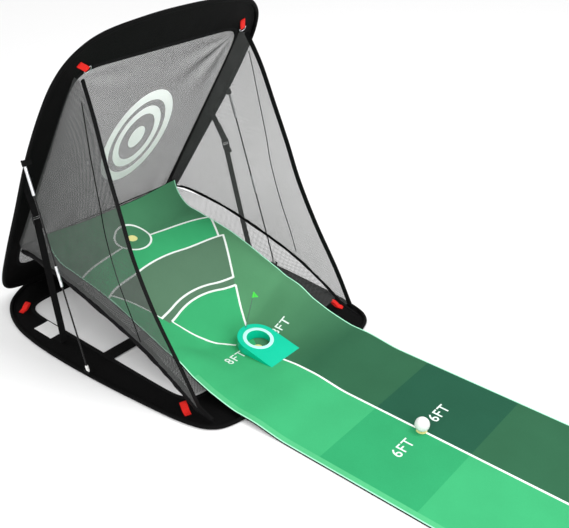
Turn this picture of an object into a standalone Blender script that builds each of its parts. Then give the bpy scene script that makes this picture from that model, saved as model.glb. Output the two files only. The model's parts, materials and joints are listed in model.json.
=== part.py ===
"""Practice putting set: a printed mat that climbs a sling inside a fold-down net.

+Y runs from the tee end of the mat towards the net, +X is the golfer's right, +Z is up.
The origin is on the floor, in the middle of the whole set. Every length is in metres.
"""

import math

import bmesh
import bpy
from mathutils import Vector

# ---- driving dimensions -------------------------------------------------------------
GAP = 0.0003  # clearance between two pieces that touch
FOOT = 0.3048  # spacing of the printed distance marks

MAT_WIDTH = 0.57
MAT_THICKNESS = 0.005
MAT_TEE_MARGIN = 0.15  # mat in front of the zero mark
CURL_RADIUS = 0.115  # the far end of the mat curls up against the net
CURL_END = math.radians(80)

HINGE_FROM_TEE = 3.33  # rear hinge line, measured from the zero mark
FLOOR_WIDTH = 0.89
FLOOR_LENGTH = 1.10
FLOOR_SIDE_BAND = 0.115
FLOOR_REAR_BAND = 0.12
FLOOR_FRONT_BAND = 0.18
CROSS_STRAP_WIDTH = 0.05
CROSS_STRAP_FROM_HINGE = 0.558
CROSS_STRAP_LAP = 0.015  # how far the cross strap reaches over each side band
LABEL_INSET = 0.055  # from the side of the floor ring
LABEL_FROM_HINGE = 0.25
LABEL_SIZE = (0.055, 0.09)
LABEL_THICKNESS = 0.0006

PANEL_WIDTH = 0.824
PANEL_LENGTH = 1.21
PANEL_LEAN = math.radians(58)  # above the floor, leaning forward over the mat
PANEL_SIDE_BAND = 0.09
PANEL_TOP_BAND = 0.15
PANEL_FOOT_BAND = 0.15
HINGE_STRIP_WIDTH = 0.36
HINGE_STRIP_UP = 0.045  # how far the strip runs up the panel's back
HINGE_STRIP_LOW_TURN = math.radians(-25)
HINGE_STRIP_STEPS = 4

WIRE_RADIUS = 0.004  # sprung steel hoop
HEM_CLEARANCE = 0.0005
FABRIC = 0.0015  # doubled polyester of the bands
NET = 0.0012
CORD_RADIUS = 0.0015
WEBBING = 0.0012
FRONT_WEBBING_WIDTH = 0.02
STRAP_WIDTH = 0.024
STRAP_INSET = 0.040
# The two straps are let out differently, so each side has its own places.
STRAP_FOOT_FROM_HINGE = {"left": 0.385, "right": 0.54}
STRAP_LOOP_UP = {"left": (0.66, 0.61), "right": (0.70, 0.67)}  # sewn there, and leaving there
STRAP_TAIL_LAP = 0.04
BUCKLE_PLACE = {"left": (0.345, 0.452), "right": (0.417, 0.484)}  # before the hinge, and height
BUCKLE_HEIGHT = 0.036
BUCKLE_THICKNESS = 0.005
BUCKLE_RIM = 0.004
BUCKLE_SLOTS = ((0.005, 0.014), (0.020, 0.030))
BUCKLE_SEAT = 0.0008  # room between a strap's end and the buckle's edge
TAB_WIDTH = 0.014
TAB_LENGTH = 0.03
TAB_EYE = 0.0034
D_RING_WIRE_RADIUS = 0.0012
SLING_HEM_RADIUS = 0.007
ELASTIC_RADIUS = 0.002

TARGET_HEIGHT = 0.66  # up the panel, to the middle of the target
TARGET_OFFSET = 0.04
TARGET_STRETCH = (0.62, 1.0)  # the rings are oval: narrow across, long up the net
TARGET_RINGS = {"target_outer_ring": (0.212, 0.170), "target_inner_ring": (0.142, 0.107)}
TARGET_BULL_RADIUS = 0.05
TARGET_THICKNESS = 0.001

ROD_RADIUS = 0.0025
ROD_TIP_RADIUS = 0.005
ROD_FOOT_FROM_HINGE = 0.59
ROD_TOP_UP_PANEL = 0.755
ROD_TOP_FERRULE = 0.10
ROD_MID_FERRULE = 0.065
ROD_FOOT_TIP = 0.018
ROD_SPLIT = 0.47  # where the lower rod ends, as a share of the whole length
ROD_FERRULE_RADIUS = 0.0042
ROD_TOP_TIP_RADIUS = 0.0045
ROD_FOOT_SEAT = 0.006  # from the foot's pivot to the end of the rod
ROD_TOP_SEAT = 0.004
CRADLE_LENGTH = 0.024
CRADLE_WALL = 0.004  # height of its walls above the pivot
STAY_REACH = (-0.014, 0.004)  # along the rod, about its top

BALL_RADIUS = 0.021335
BALL_MARK = 6
CUP_MARK = 8
CUP_OFFSET = (0.012, 0.006)  # the cup stands a little past and right of its mark
CUP_RADIUS = 0.067
CUP_HEIGHT = 0.026  # of the sloping top, over the middle of the hole
CUP_HOLE_RADIUS = 0.038
CUP_RING_RADIUS = 0.050
CUP_RING_DEPTH = 0.0015
CUP_RAMP_REACH = 0.125  # from the hole's middle to the toe of the ramp
CUP_TOE = 0.0012
POLE_RADIUS = 0.0012
POLE_LENGTH = 0.14
POLE_SOCKET = 0.014
POLE_TILT = math.radians(20)
FLAG_SIZE = (0.026, 0.02)
FLAG_SLEEVE = 0.0009
FLAG_THICKNESS = 0.0008

# ---- derived places ------------------------------------------------------------------
CUP_SLOPE = (CUP_HEIGHT - CUP_TOE) / CUP_RAMP_REACH
HEM_RADIUS = WIRE_RADIUS + HEM_CLEARANCE + FABRIC
ROD_BORE = ROD_RADIUS + GAP + 0.0001  # a little more room, since the bore is many-sided
STRIP_RADIUS = HEM_RADIUS + GAP + FABRIC
TOTAL_LENGTH = MAT_TEE_MARGIN + HINGE_FROM_TEE + STRIP_RADIUS
TEE_Y = MAT_TEE_MARGIN - TOTAL_LENGTH / 2
HINGE = Vector((0, TEE_Y + HINGE_FROM_TEE, HEM_RADIUS))
UP_PANEL = Vector((0, -math.cos(PANEL_LEAN), math.sin(PANEL_LEAN)))
OFF_PANEL = Vector((0, -math.sin(PANEL_LEAN), -math.cos(PANEL_LEAN)))  # towards the golfer
PANEL_FOOT = 2 * HEM_RADIUS + GAP
SLING_TOP = FABRIC + GAP + NET
MAT_ON_SLING = SLING_TOP + GAP
FLOOR_FRONT_Y = HINGE.y - FLOOR_LENGTH

# Ring outlines, as shares of the half width and of the length from the hinge line.
FLOOR_SHAPE = [
    (0.0, 0.0), (0.3, 0.0), (0.54, 0.0), (0.66, 0.018), (0.8, 0.062), (0.91, 0.135),
    (0.975, 0.23), (1.0, 0.37), (0.985, 0.57), (0.94, 0.78), (0.9, 0.89), (0.84, 0.95),
    (0.72, 0.98), (0.45, 0.995), (0.0, 1.0),
]
PANEL_SHAPE = [
    (0.0, 0.0), (0.25, 0.0), (0.48, 0.0), (0.66, 0.01), (0.82, 0.035), (0.895, 0.1),
    (0.935, 0.24), (0.965, 0.42), (1.0, 0.62), (0.99, 0.78), (0.945, 0.875),
    (0.84, 0.938), (0.65, 0.978), (0.3, 0.996), (0.0, 1.0),
]
HEM_ANGLES = [math.radians(a) for a in (-90, -30, 30, 90, 150, 210)]
WINDOW_SQUARENESS = 12

# Height of the sling's cradle for the mat along its middle line, against the
# distance in front of the hinge line.
CLIMB = [
    (0.33, 0.198), (0.40, 0.181), (0.47, 0.158), (0.54, 0.128), (0.61, 0.090),
    (0.68, 0.050), (0.74, 0.018), (0.78, MAT_ON_SLING),
]
# How far the mat's edges stand above its middle there.
EDGE_LIFT = [
    (0.25, 0.012), (0.33, 0.014), (0.43, 0.026), (0.56, 0.052), (0.66, 0.075),
    (0.75, 0.092), (0.83, 0.080), (0.89, 0.050), (0.98, 0.022), (1.06, 0.0),
]
# The sling's side hems: distance in front of the hinge, inset from the panel's side, height.
HEM_LINE = [
    (0.176, 0.074, 0.247), (0.26, 0.067, 0.251), (0.46, 0.060, 0.222),
    (0.72, 0.058, 0.152), (0.86, 0.058, 0.090), (0.975, 0.060, 0.026),
]
# The front edges of the side nets, measured in the same way.
FRONT_EDGE = [
    (0.582, 0.094, 0.893), (0.628, 0.082, 0.800), (0.672, 0.071, 0.680),
    (0.722, 0.062, 0.550), (0.766, 0.056, 0.430), (0.838, 0.052, 0.290),
    (0.928, 0.052, 0.150), (0.992, 0.055, 0.040),
]
SLING_REAR_UP = 0.285  # where the sling meets the net, up the panel
NET_TOP_UP = 1.045  # the side nets' span up the panel
NET_FOOT_UP = 0.312
HEM_POINTS = 9
TROUGH_START = 0.095
MAT_COLUMN_SHARES = (0.0, 0.29, 0.55, 0.79)  # from the trough's start to the mat's edge
HUMP_RISE = (-0.065, -0.012)  # over the front of the floor ring, against its front line
HUMP_FALL = (0.032, 0.09)
FLAT_ROWS = 5
CURL_ROWS = 6


# ---- curves --------------------------------------------------------------------------
def catmull(a, b, c, d, t):
    """The point a share t of the way from b to c on the smooth curve through all four."""
    return 0.5 * (
        2 * b + (c - a) * t + (2 * a - 5 * b + 4 * c - d) * t**2 + (3 * b - a - 3 * c + d) * t**3
    )


def smooth_closed(points, per_span=2):
    count = len(points)
    curve = []
    for i in range(count):
        four = [Vector(points[(i + k) % count]) for k in (-1, 0, 1, 2)]
        curve += [catmull(*four, step / per_span) for step in range(per_span)]
    return curve


def smooth_open(points, count):
    points = [Vector(p) for p in points]
    points = [2 * points[0] - points[1]] + points + [2 * points[-1] - points[-2]]
    spans = len(points) - 3
    curve = []
    for k in range(count):
        where = k * spans / (count - 1)
        i = min(int(where), spans - 1)
        curve.append(catmull(*points[i : i + 4], where - i))
    return curve


def blend(table, x, column=1):
    """The value in a table at x, straight between its rows and constant past its ends."""
    if x <= table[0][0]:
        return table[0][column]
    for low, high in zip(table, table[1:]):
        if x <= high[0]:
            t = (x - low[0]) / (high[0] - low[0])
            return low[column] + (high[column] - low[column]) * t
    return table[-1][column]


def smoothstep(low, high, x):
    t = min(max((x - low) / (high - low), 0.0), 1.0)
    return t * t * (3 - 2 * t)


def mirrored(shape):
    return shape + [(-x, y) for x, y in reversed(shape[1:-1])]


# ---- solids --------------------------------------------------------------------------
def material(name, colour, roughness, metallic=0.0):
    found = bpy.data.materials.get(name)
    if found:
        return found
    made = bpy.data.materials.new(name)
    made.use_nodes = True
    shader = made.node_tree.nodes["Principled BSDF"]
    shader.inputs["Base Color"].default_value = (*colour, 1)
    shader.inputs["Roughness"].default_value = roughness
    shader.inputs["Metallic"].default_value = metallic
    return made


def band_black():
    return material("black_polyester", (0.012, 0.012, 0.013), 0.8)


def net_grey():
    return material("grey_netting", (0.33, 0.33, 0.33), 0.85)


def webbing_black():
    return material("black_webbing", (0.02, 0.02, 0.022), 0.75)


def tab_red():
    return material("red_webbing", (0.8, 0.05, 0.04), 0.7)


def steel():
    return material("plated_steel", (0.75, 0.76, 0.78), 0.3, 1.0)


def solid(name, points, faces, finish, origin=(0, 0, 0)):
    """One closed solid, its faces turned outward and its origin at a chosen place."""
    origin = Vector(origin)
    mesh = bpy.data.meshes.new(name)
    mesh.from_pydata([Vector(p) - origin for p in points], [], faces)
    work = bmesh.new()
    work.from_mesh(mesh)
    bmesh.ops.recalc_face_normals(work, faces=work.faces)
    if work.calc_volume(signed=True) < 0:
        bmesh.ops.reverse_faces(work, faces=work.faces)
    work.to_mesh(mesh)
    work.free()
    mesh.materials.append(finish)
    made = bpy.data.objects.new(name, mesh)
    made.location = origin
    bpy.context.scene.collection.objects.link(made)
    return made


def loft(name, sections, finish, ring=False, origin=(0, 0, 0)):
    """Joins matching outlines one after another. A ring meets its own start."""
    sides = len(sections[0])
    count = len(sections)
    points = [p for section in sections for p in section]
    faces = []
    for i in range(count if ring else count - 1):
        a = i * sides
        b = (i + 1) % count * sides
        for j in range(sides):
            k = (j + 1) % sides
            faces.append((a + j, a + k, b + k, b + j))
    if not ring:
        faces.append(tuple(range(sides)))
        faces.append(tuple(range((count - 1) * sides, count * sides)))
    return solid(name, points, faces, finish, origin)


def sheet(name, lower, upper, finish):
    """A thin solid between two matching grids of points."""
    rows = len(lower)
    columns = len(lower[0])
    points = [p for row in lower for p in row] + [p for row in upper for p in row]
    top = rows * columns
    faces = []
    for r in range(rows - 1):
        for c in range(columns - 1):
            a = r * columns + c
            for face in ((a, a + 1, a + columns + 1), (a, a + columns + 1, a + columns)):
                faces.append(face)
                faces.append(tuple(top + v for v in reversed(face)))
    edge = [c for c in range(columns)]
    edge += [r * columns + columns - 1 for r in range(1, rows)]
    edge += [(rows - 1) * columns + c for c in reversed(range(columns - 1))]
    edge += [r * columns for r in reversed(range(1, rows - 1))]
    for a, b in zip(edge, edge[1:] + edge[:1]):
        faces.append((a, b, top + b, top + a))
    return solid(name, points, faces, finish)


def prism(name, outline, depth, finish, origin=(0, 0, 0)):
    depth = Vector(depth)
    outline = [Vector(p) for p in outline]
    return loft(name, [outline, [p + depth for p in outline]], finish, origin=origin)


def frame_of(direction):
    """Two unit vectors square to a direction and to each other."""
    side = Vector((1, 0, 0)) if abs(direction.x) < 0.9 else Vector((0, 1, 0))
    first = (side - direction * side.dot(direction)).normalized()
    return first, direction.cross(first)


def turned(name, profile, base, axis, finish, sides=12, origin=(0, 0, 0), stretch=(1, 1)):
    """A closed profile of (radius, height) turned round an axis. No radius is zero."""
    axis = Vector(axis).normalized()
    first, second = frame_of(axis)
    sections = []
    for k in range(sides):
        turn = 2 * math.pi * k / sides
        out = first * (math.cos(turn) * stretch[0]) + second * (math.sin(turn) * stretch[1])
        sections.append([Vector(base) + out * r + axis * h for r, h in profile])
    return loft(name, sections, finish, ring=True, origin=origin)


def bar(name, start, end, radius, finish, sides=8, origin=(0, 0, 0)):
    start = Vector(start)
    end = Vector(end)
    first, second = frame_of((end - start).normalized())
    around = []
    for k in range(sides):
        turn = 2 * math.pi * k / sides
        around.append((first * math.cos(turn) + second * math.sin(turn)) * radius)
    sections = [[start + p for p in around], [end + p for p in around]]
    return loft(name, sections, finish, origin=origin)


def cord(name, path, radius, finish, sides=6, ring=False):
    """A round cord along a path, its section kept square to the path."""
    count = len(path)
    sections = []
    for i, point in enumerate(path):
        before = path[i - 1] if i or ring else path[0]
        after = path[(i + 1) % count] if i < count - 1 or ring else path[-1]
        first, second = frame_of((after - before).normalized())
        section = []
        for k in range(sides):
            turn = 2 * math.pi * k / sides
            section.append(point + (first * math.cos(turn) + second * math.sin(turn)) * radius)
        sections.append(section)
    return loft(name, sections, finish, ring=ring)


def ribbon(name, path, half_width, thickness, finish):
    """A flat strap. half_width is the vector from its middle line to its edge."""
    half_width = Vector(half_width)
    sections = []
    for i, point in enumerate(path):
        before = path[max(i - 1, 0)]
        after = path[min(i + 1, len(path) - 1)]
        lift = (after - before).cross(half_width).normalized() * (thickness / 2)
        sections.append([point + half_width + lift, point - half_width + lift,
                         point - half_width - lift, point + half_width - lift])
    return loft(name, sections, finish)


# ---- rings and bands -----------------------------------------------------------------
def ring_outline(shape, half_width, start, length):
    points = [(x * half_width, start + y * length) for x, y in mirrored(shape)]
    return [Vector((p.x, max(p.y, start))) for p in smooth_closed(points)]


def ring_half_width(shape, half_width, share):
    """Half the ring's width a given share of the way along it."""
    return half_width * blend([(y, x) for x, y in shape[2:]], share)


def outward(outline, i):
    along = outline[(i + 1) % len(outline)] - outline[i - 1]
    return Vector((along.y, -along.x)).normalized()


def window_point(point, middle, outer_half, window_middle, window_half):
    """The point of the rounded window opposite a point of the ring round it."""
    across = (point.x - middle.x) / outer_half.x
    along = (point.y - middle.y) / outer_half.y
    size = (abs(across) ** WINDOW_SQUARENESS + abs(along) ** WINDOW_SQUARENESS) ** (
        -1 / WINDOW_SQUARENESS
    )
    return Vector((window_middle.x + across * size * window_half.x,
                   window_middle.y + along * size * window_half.y))


def hooped_band(name, outline, window, place):
    """A flat band hemmed round the hoop: one fabric section, swept round the ring."""
    hem_inner = HEM_RADIUS - FABRIC
    sections = []
    for i, centre in enumerate(outline):
        out = outward(outline, i)
        section = [place(window[i], 0)]
        for angle in HEM_ANGLES:
            across = HEM_RADIUS * math.cos(angle)
            section.append(place(centre + out * across, HEM_RADIUS * (1 + math.sin(angle))))
        for angle in reversed(HEM_ANGLES):
            across = hem_inner * math.cos(angle)
            height = HEM_RADIUS + hem_inner * math.sin(angle)
            section.append(place(centre + out * across, height))
        section.append(place(window[i], FABRIC))
        sections.append(section)
    return loft(name, sections, band_black(), ring=True)


def hoop(name, outline, place):
    sections = []
    for i, centre in enumerate(outline):
        out = outward(outline, i)
        section = []
        for angle in HEM_ANGLES:
            across = WIRE_RADIUS * math.cos(angle)
            section.append(place(centre + out * across, HEM_RADIUS + WIRE_RADIUS * math.sin(angle)))
        sections.append(section)
    return loft(name, sections, material("spring_steel", (0.35, 0.36, 0.38), 0.35, 1.0), ring=True)


def on_floor(point, height):
    """Floor ring coordinates: across, distance in front of the hinge, height."""
    return Vector((point.x, HINGE.y - point.y, height))


def on_panel(point, height):
    """Panel coordinates: across, distance up the panel, height above its back face."""
    return HINGE + Vector((point.x, 0, 0)) + UP_PANEL * point.y + OFF_PANEL * (height - HEM_RADIUS)


def panel_face(x, up, off):
    """A point on the panel, measured off the front face of its band and net."""
    return on_panel(Vector((x, up)), FABRIC + off)


def floor_outline():
    return ring_outline(FLOOR_SHAPE, FLOOR_WIDTH / 2 - HEM_RADIUS, 0, FLOOR_LENGTH)


def panel_outline():
    half = PANEL_WIDTH / 2 - HEM_RADIUS
    return ring_outline(PANEL_SHAPE, half, PANEL_FOOT, PANEL_LENGTH - PANEL_FOOT)


def floor_window(outline):
    low = FLOOR_REAR_BAND
    high = FLOOR_LENGTH - FLOOR_FRONT_BAND
    middle = Vector((0, FLOOR_LENGTH / 2))
    outer_half = Vector((FLOOR_WIDTH / 2, FLOOR_LENGTH / 2))
    window_middle = Vector((0, (low + high) / 2))
    window_half = Vector((FLOOR_WIDTH / 2 - FLOOR_SIDE_BAND, (high - low) / 2))
    return [window_point(p, middle, outer_half, window_middle, window_half) for p in outline]


def panel_window(outline, inset=0.0):
    low = PANEL_FOOT_BAND
    high = PANEL_LENGTH - PANEL_TOP_BAND
    middle = Vector((0, PANEL_LENGTH / 2))
    outer_half = Vector((PANEL_WIDTH / 2, PANEL_LENGTH / 2))
    window_middle = Vector((0, (low + high) / 2))
    window_half = Vector((PANEL_WIDTH / 2 - PANEL_SIDE_BAND - inset, (high - low) / 2 - inset))
    return [window_point(p, middle, outer_half, window_middle, window_half) for p in outline]


def make_floor():
    outline = floor_outline()
    hooped_band("floor_band", outline, floor_window(outline), on_floor)
    hoop("floor_hoop", outline, on_floor)
    reach = FLOOR_WIDTH / 2 - FLOOR_SIDE_BAND + CROSS_STRAP_LAP
    low = FABRIC + GAP
    y = HINGE.y - CROSS_STRAP_FROM_HINGE
    half = Vector((0, CROSS_STRAP_WIDTH / 2, 0))
    middle = low + WEBBING / 2
    path = [Vector((-reach, y, middle)), Vector((reach, y, middle))]
    ribbon("floor_cross_strap", path, half, WEBBING, webbing_black())
    left = LABEL_INSET - FLOOR_WIDTH / 2
    right = left + LABEL_SIZE[0]
    rear = HINGE.y - LABEL_FROM_HINGE
    front = rear - LABEL_SIZE[1]
    outline = [(left, rear, low), (right, rear, low), (right, front, low), (left, front, low)]
    white = material("white_satin", (0.9, 0.9, 0.9), 0.6)
    prism("care_label", outline, (0, 0, LABEL_THICKNESS), white)


def make_panel():
    outline = panel_outline()
    hooped_band("panel_band", outline, panel_window(outline), on_panel)
    hoop("panel_hoop", outline, on_panel)
    edge = panel_window(outline, GAP)
    start = [on_panel(p, FABRIC - NET) for p in edge]
    prism("back_net", start, OFF_PANEL * NET, net_grey())


def make_hinge_strip():
    """Fabric behind both rings that joins them: the fold turns about the floor ring."""
    half = HINGE_STRIP_WIDTH / 2
    span = math.pi / 2 - PANEL_LEAN - HINGE_STRIP_LOW_TURN
    section = []
    for radius, order in ((STRIP_RADIUS, 1), (HEM_RADIUS + GAP, -1)):
        arc = []
        for k in range(HINGE_STRIP_STEPS + 1):
            turn = HINGE_STRIP_LOW_TURN + span * k / HINGE_STRIP_STEPS
            arc.append(HINGE + Vector((-half, radius * math.cos(turn), radius * math.sin(turn))))
        arc.append(HINGE + Vector((-half, 0, 0)) + UP_PANEL * HINGE_STRIP_UP - OFF_PANEL * radius)
        section += arc[::order]
    prism("rear_hinge_strip", section, (2 * half, 0, 0), band_black())


def make_targets():
    white = material("white_print", (0.9, 0.9, 0.9), 0.6)
    base = panel_face(TARGET_OFFSET, TARGET_HEIGHT, GAP)
    for name, (outer, inner) in TARGET_RINGS.items():
        profile = [(inner, 0), (outer, 0), (outer, TARGET_THICKNESS), (inner, TARGET_THICKNESS)]
        turned(name, profile, base, OFF_PANEL, white, sides=32, stretch=TARGET_STRETCH)
    outline = []
    for k in range(20):
        turn = 2 * math.pi * k / 20
        x = TARGET_OFFSET + TARGET_BULL_RADIUS * TARGET_STRETCH[0] * math.cos(turn)
        up = TARGET_HEIGHT + TARGET_BULL_RADIUS * TARGET_STRETCH[1] * math.sin(turn)
        outline.append(panel_face(x, up, GAP))
    prism("target_bull", outline, OFF_PANEL * TARGET_THICKNESS, white)


# ---- the mat and the sling under it --------------------------------------------------
def front_hump(y):
    """Height of the mat's underside where it rides over the front of the floor ring."""
    top = 2 * HEM_RADIUS + 2 * GAP
    rise = smoothstep(*HUMP_RISE, y - FLOOR_FRONT_Y)
    fall = smoothstep(*HUMP_FALL, y - FLOOR_FRONT_Y)
    return top * rise + (MAT_ON_SLING - top) * fall


def middle_height(y):
    """Underside of the mat on its middle line, up to where its end curls."""
    front = HINGE.y - y
    return front_hump(y) if front >= CLIMB[-1][0] else blend(CLIMB, front)


def trough(x):
    return smoothstep(TROUGH_START, MAT_WIDTH / 2, abs(x))


def edge_lift(y):
    return blend(EDGE_LIFT, HINGE.y - y)


def mat_columns():
    edge = MAT_WIDTH / 2
    right = [TROUGH_START + (edge - TROUGH_START) * share for share in MAT_COLUMN_SHARES]
    right.append(edge)
    return [-x for x in reversed(right)] + right


def climb_rows():
    """Distances in front of the hinge of the rows that mat and sling share."""
    return [0.94, 0.89, 0.83] + [front for front, _ in reversed(CLIMB)]


def mat_line():
    """(y, height, slope angle) along the middle of the mat's underside."""
    start = TEE_Y - MAT_TEE_MARGIN
    flat = FLOOR_FRONT_Y + HUMP_RISE[0]
    line = [start + (flat - start) * k / (FLAT_ROWS - 1) for k in range(FLAT_ROWS)]
    line += [FLOOR_FRONT_Y + d for d in (-0.045, -0.03, HUMP_RISE[1], HUMP_FALL[0], 0.05, 0.07)]
    line.append(FLOOR_FRONT_Y + HUMP_FALL[1])
    line += [HINGE.y - front for front in climb_rows()]
    rows = [(y, middle_height(y)) for y in line]
    (y0, z0), (y1, z1) = rows[-2:]
    start_angle = math.atan2(z1 - z0, y1 - y0)
    for k in range(1, CURL_ROWS + 1):
        angle = start_angle + (CURL_END - start_angle) * k / CURL_ROWS
        rows.append((y1 + CURL_RADIUS * (math.sin(angle) - math.sin(start_angle)),
                     z1 + CURL_RADIUS * (math.cos(start_angle) - math.cos(angle))))
    return rows


def grid_normals(grid):
    normals = []
    for r, row in enumerate(grid):
        line = []
        for c in range(len(row)):
            along = grid[min(r + 1, len(grid) - 1)][c] - grid[max(r - 1, 0)][c]
            across = row[min(c + 1, len(row) - 1)] - row[max(c - 1, 0)]
            line.append(across.cross(along).normalized())
        normals.append(line)
    return normals


def make_mat():
    lower = []
    for y, z in mat_line():
        lower.append([Vector((x, y, z + edge_lift(y) * trough(x))) for x in mat_columns()])
    normals = grid_normals(lower)
    upper = []
    for row, line in zip(lower, normals):
        upper.append([p + n * MAT_THICKNESS for p, n in zip(row, line)])
    sheet("putting_mat", lower, upper, material("green_print", (0.1, 0.55, 0.28), 0.85))


def side_points(side, table):
    half = PANEL_WIDTH / 2
    return [Vector((side * (half - inset), HINGE.y - front, z)) for front, inset, z in table]


def hem_path(side, count=HEM_POINTS):
    return smooth_open(side_points(side, HEM_LINE), count)


def hem_at(side, y):
    """The point of a sling hem's middle line at a given y."""
    path = hem_path(side)
    for rear, front in zip(path, path[1:]):
        if front.y <= y:
            return rear.lerp(front, (rear.y - y) / (rear.y - front.y))
    return path[-1]


def sling_point(x, y):
    height = middle_height(y) - GAP - NET + edge_lift(y) * trough(x)
    return Vector((x, y, height))


def sling_edge(side, y):
    point = hem_at(side, y)
    return point - Vector((side * (SLING_HEM_RADIUS + GAP), 0, 0))


def make_sling():
    """The mesh cradle that the mat climbs, from the floor band to the net's elastic."""
    off = 2 * ELASTIC_RADIUS + 2 * GAP + NET
    lower = []
    for front in climb_rows():
        y = HINGE.y - front
        line = [sling_point(x, y) for x in mat_columns()]
        lower.append([sling_edge(-1, y)] + line + [sling_edge(1, y)])
    join = lower[-1]
    steps = 4
    for k in range(1, steps + 1):
        ends = [panel_face(p.x, SLING_REAR_UP, off) for p in join]
        line = [p.lerp(end, k / steps) for p, end in zip(join, ends)]
        for column, side in ((0, -1), (-1, 1)):
            line[column].x = sling_edge(side, line[column].y).x
        lower.append(line)
    upper = [[p + Vector((0, 0, NET)) for p in row] for row in lower]
    sheet("mat_sling", lower, upper, net_grey())
    reach = PANEL_WIDTH / 2 - PANEL_SIDE_BAND + 0.006
    ends = [panel_face(x, SLING_REAR_UP, ELASTIC_RADIUS + GAP) for x in (-reach, reach)]
    bar("net_elastic", *ends, ELASTIC_RADIUS, webbing_black(), sides=6)


# ---- side nets -----------------------------------------------------------------------
def front_edge(side, count=12):
    """(middle point, vector to the rear edge) along the front webbing, top to bottom."""
    path = smooth_open(side_points(side, FRONT_EDGE), count)
    edge = []
    for i, point in enumerate(path):
        along = path[min(i + 1, count - 1)] - path[max(i - 1, 0)]
        wide = Vector((1, 0, 0)).cross(along).normalized() * (FRONT_WEBBING_WIDTH / 2)
        edge.append((point, wide if wide.y > 0 else -wide))
    return edge


def net_rows(side, columns=HEM_POINTS):
    """Side net as a grid: down the panel's edge and down the front webbing."""
    edge = front_edge(side)
    last = len(edge) - 1
    grid = []
    for r, (middle, wide) in enumerate(edge):
        share = r / last
        up = NET_TOP_UP + (NET_FOOT_UP - NET_TOP_UP) * share
        half = PANEL_WIDTH / 2 - PANEL_SIDE_BAND
        start = panel_face(side * (half + 0.003 + 0.012 * share), up, 3 * GAP + NET)
        end = middle + wide + wide.normalized() * GAP
        line = [start.lerp(end, c / (columns - 1)) for c in range(columns)]
        if r == last:
            line = [p + Vector((0, 0, SLING_HEM_RADIUS)) for p in hem_path(side)]
        grid.append(line)
    return grid


def make_side_net(side, label):
    grid = net_rows(side)
    half = Vector((NET / 2, 0, 0))
    lower = [[p - half for p in row] for row in grid]
    upper = [[p + half for p in row] for row in grid]
    sheet(label + "_side_net", lower, upper, net_grey())
    out = Vector((side * (NET / 2 + CORD_RADIUS + 2 * GAP), 0, 0))
    seam = [row[-3] + out for row in grid]
    cord(label + "_net_cord", seam[1:-1], CORD_RADIUS, webbing_black())
    sections = []
    thick = Vector((WEBBING / 2, 0, 0))
    for point, wide in front_edge(side):
        sections.append([point + wide + thick, point - wide + thick,
                         point - wide - thick, point + wide - thick])
    loft(label + "_front_webbing", sections, webbing_black())
    cord(label + "_sling_hem", hem_path(side), SLING_HEM_RADIUS, band_black())


# ---- tabs, rings, straps and rods ----------------------------------------------------
def tab_outline(length):
    """A folded tab with an eye at its far end, as (along, up)."""
    wall = WEBBING
    top = 2 * wall + TAB_EYE
    return [
        (0, 0), (length, 0), (length + 0.003, top / 2), (length, top), (length - 0.009, wall * 2.4),
        (0, wall * 2.4), (0, wall * 1.4), (length - 0.0075, wall * 1.4), (length - 0.0015, top - wall),
        (length + 0.0012, top / 2), (length - 0.0015, wall), (0, wall),
    ]


def make_tab(name, base, along, up):
    along = Vector(along).normalized()
    side = along.cross(up) * TAB_WIDTH
    outline = [base - side / 2 + along * a + up * b for a, b in tab_outline(TAB_LENGTH)]
    return prism(name, outline, side, tab_red())


def make_d_ring(name, eye, along):
    """A steel D: its bar lies in a tab's eye and its bow points on along the tab."""
    half = TAB_WIDTH / 2 + 0.003
    across = Vector((1, 0, 0))
    path = [eye - across * half, eye + across * half]
    for k in range(1, 8):
        turn = math.pi * k / 8
        path.append(eye + across * half * math.cos(turn) + along * (half * 1.2 * math.sin(turn)))
    cord(name, path, D_RING_WIRE_RADIUS, steel(), ring=True)


def make_tabs():
    low = FABRIC + GAP
    floor_tabs = {"rear": (0.031, 0.135, 1, 0.2), "front": (0.029, 0.955, 0.4, 1)}
    for side, label in ((-1, "left"), (1, "right")):
        for name, (inset, front, across, along) in floor_tabs.items():
            half = ring_half_width(FLOOR_SHAPE, FLOOR_WIDTH / 2 - HEM_RADIUS, front / FLOOR_LENGTH)
            base = Vector((side * (half - inset), HINGE.y - front, low))
            way = (-side * across, along, 0)
            make_tab(name + "_" + label + "_tab", base, way, Vector((0, 0, 1)))
        base = panel_face(side * (PANEL_WIDTH / 2 - 0.1), PANEL_LENGTH - 0.125, GAP)
        make_tab("top_" + label + "_tab", base, -UP_PANEL, OFF_PANEL)
        eye = base - UP_PANEL * (TAB_LENGTH - 0.0015) + OFF_PANEL * (WEBBING + TAB_EYE / 2)
        make_d_ring(label + "_d_ring", eye, -UP_PANEL)


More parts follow.
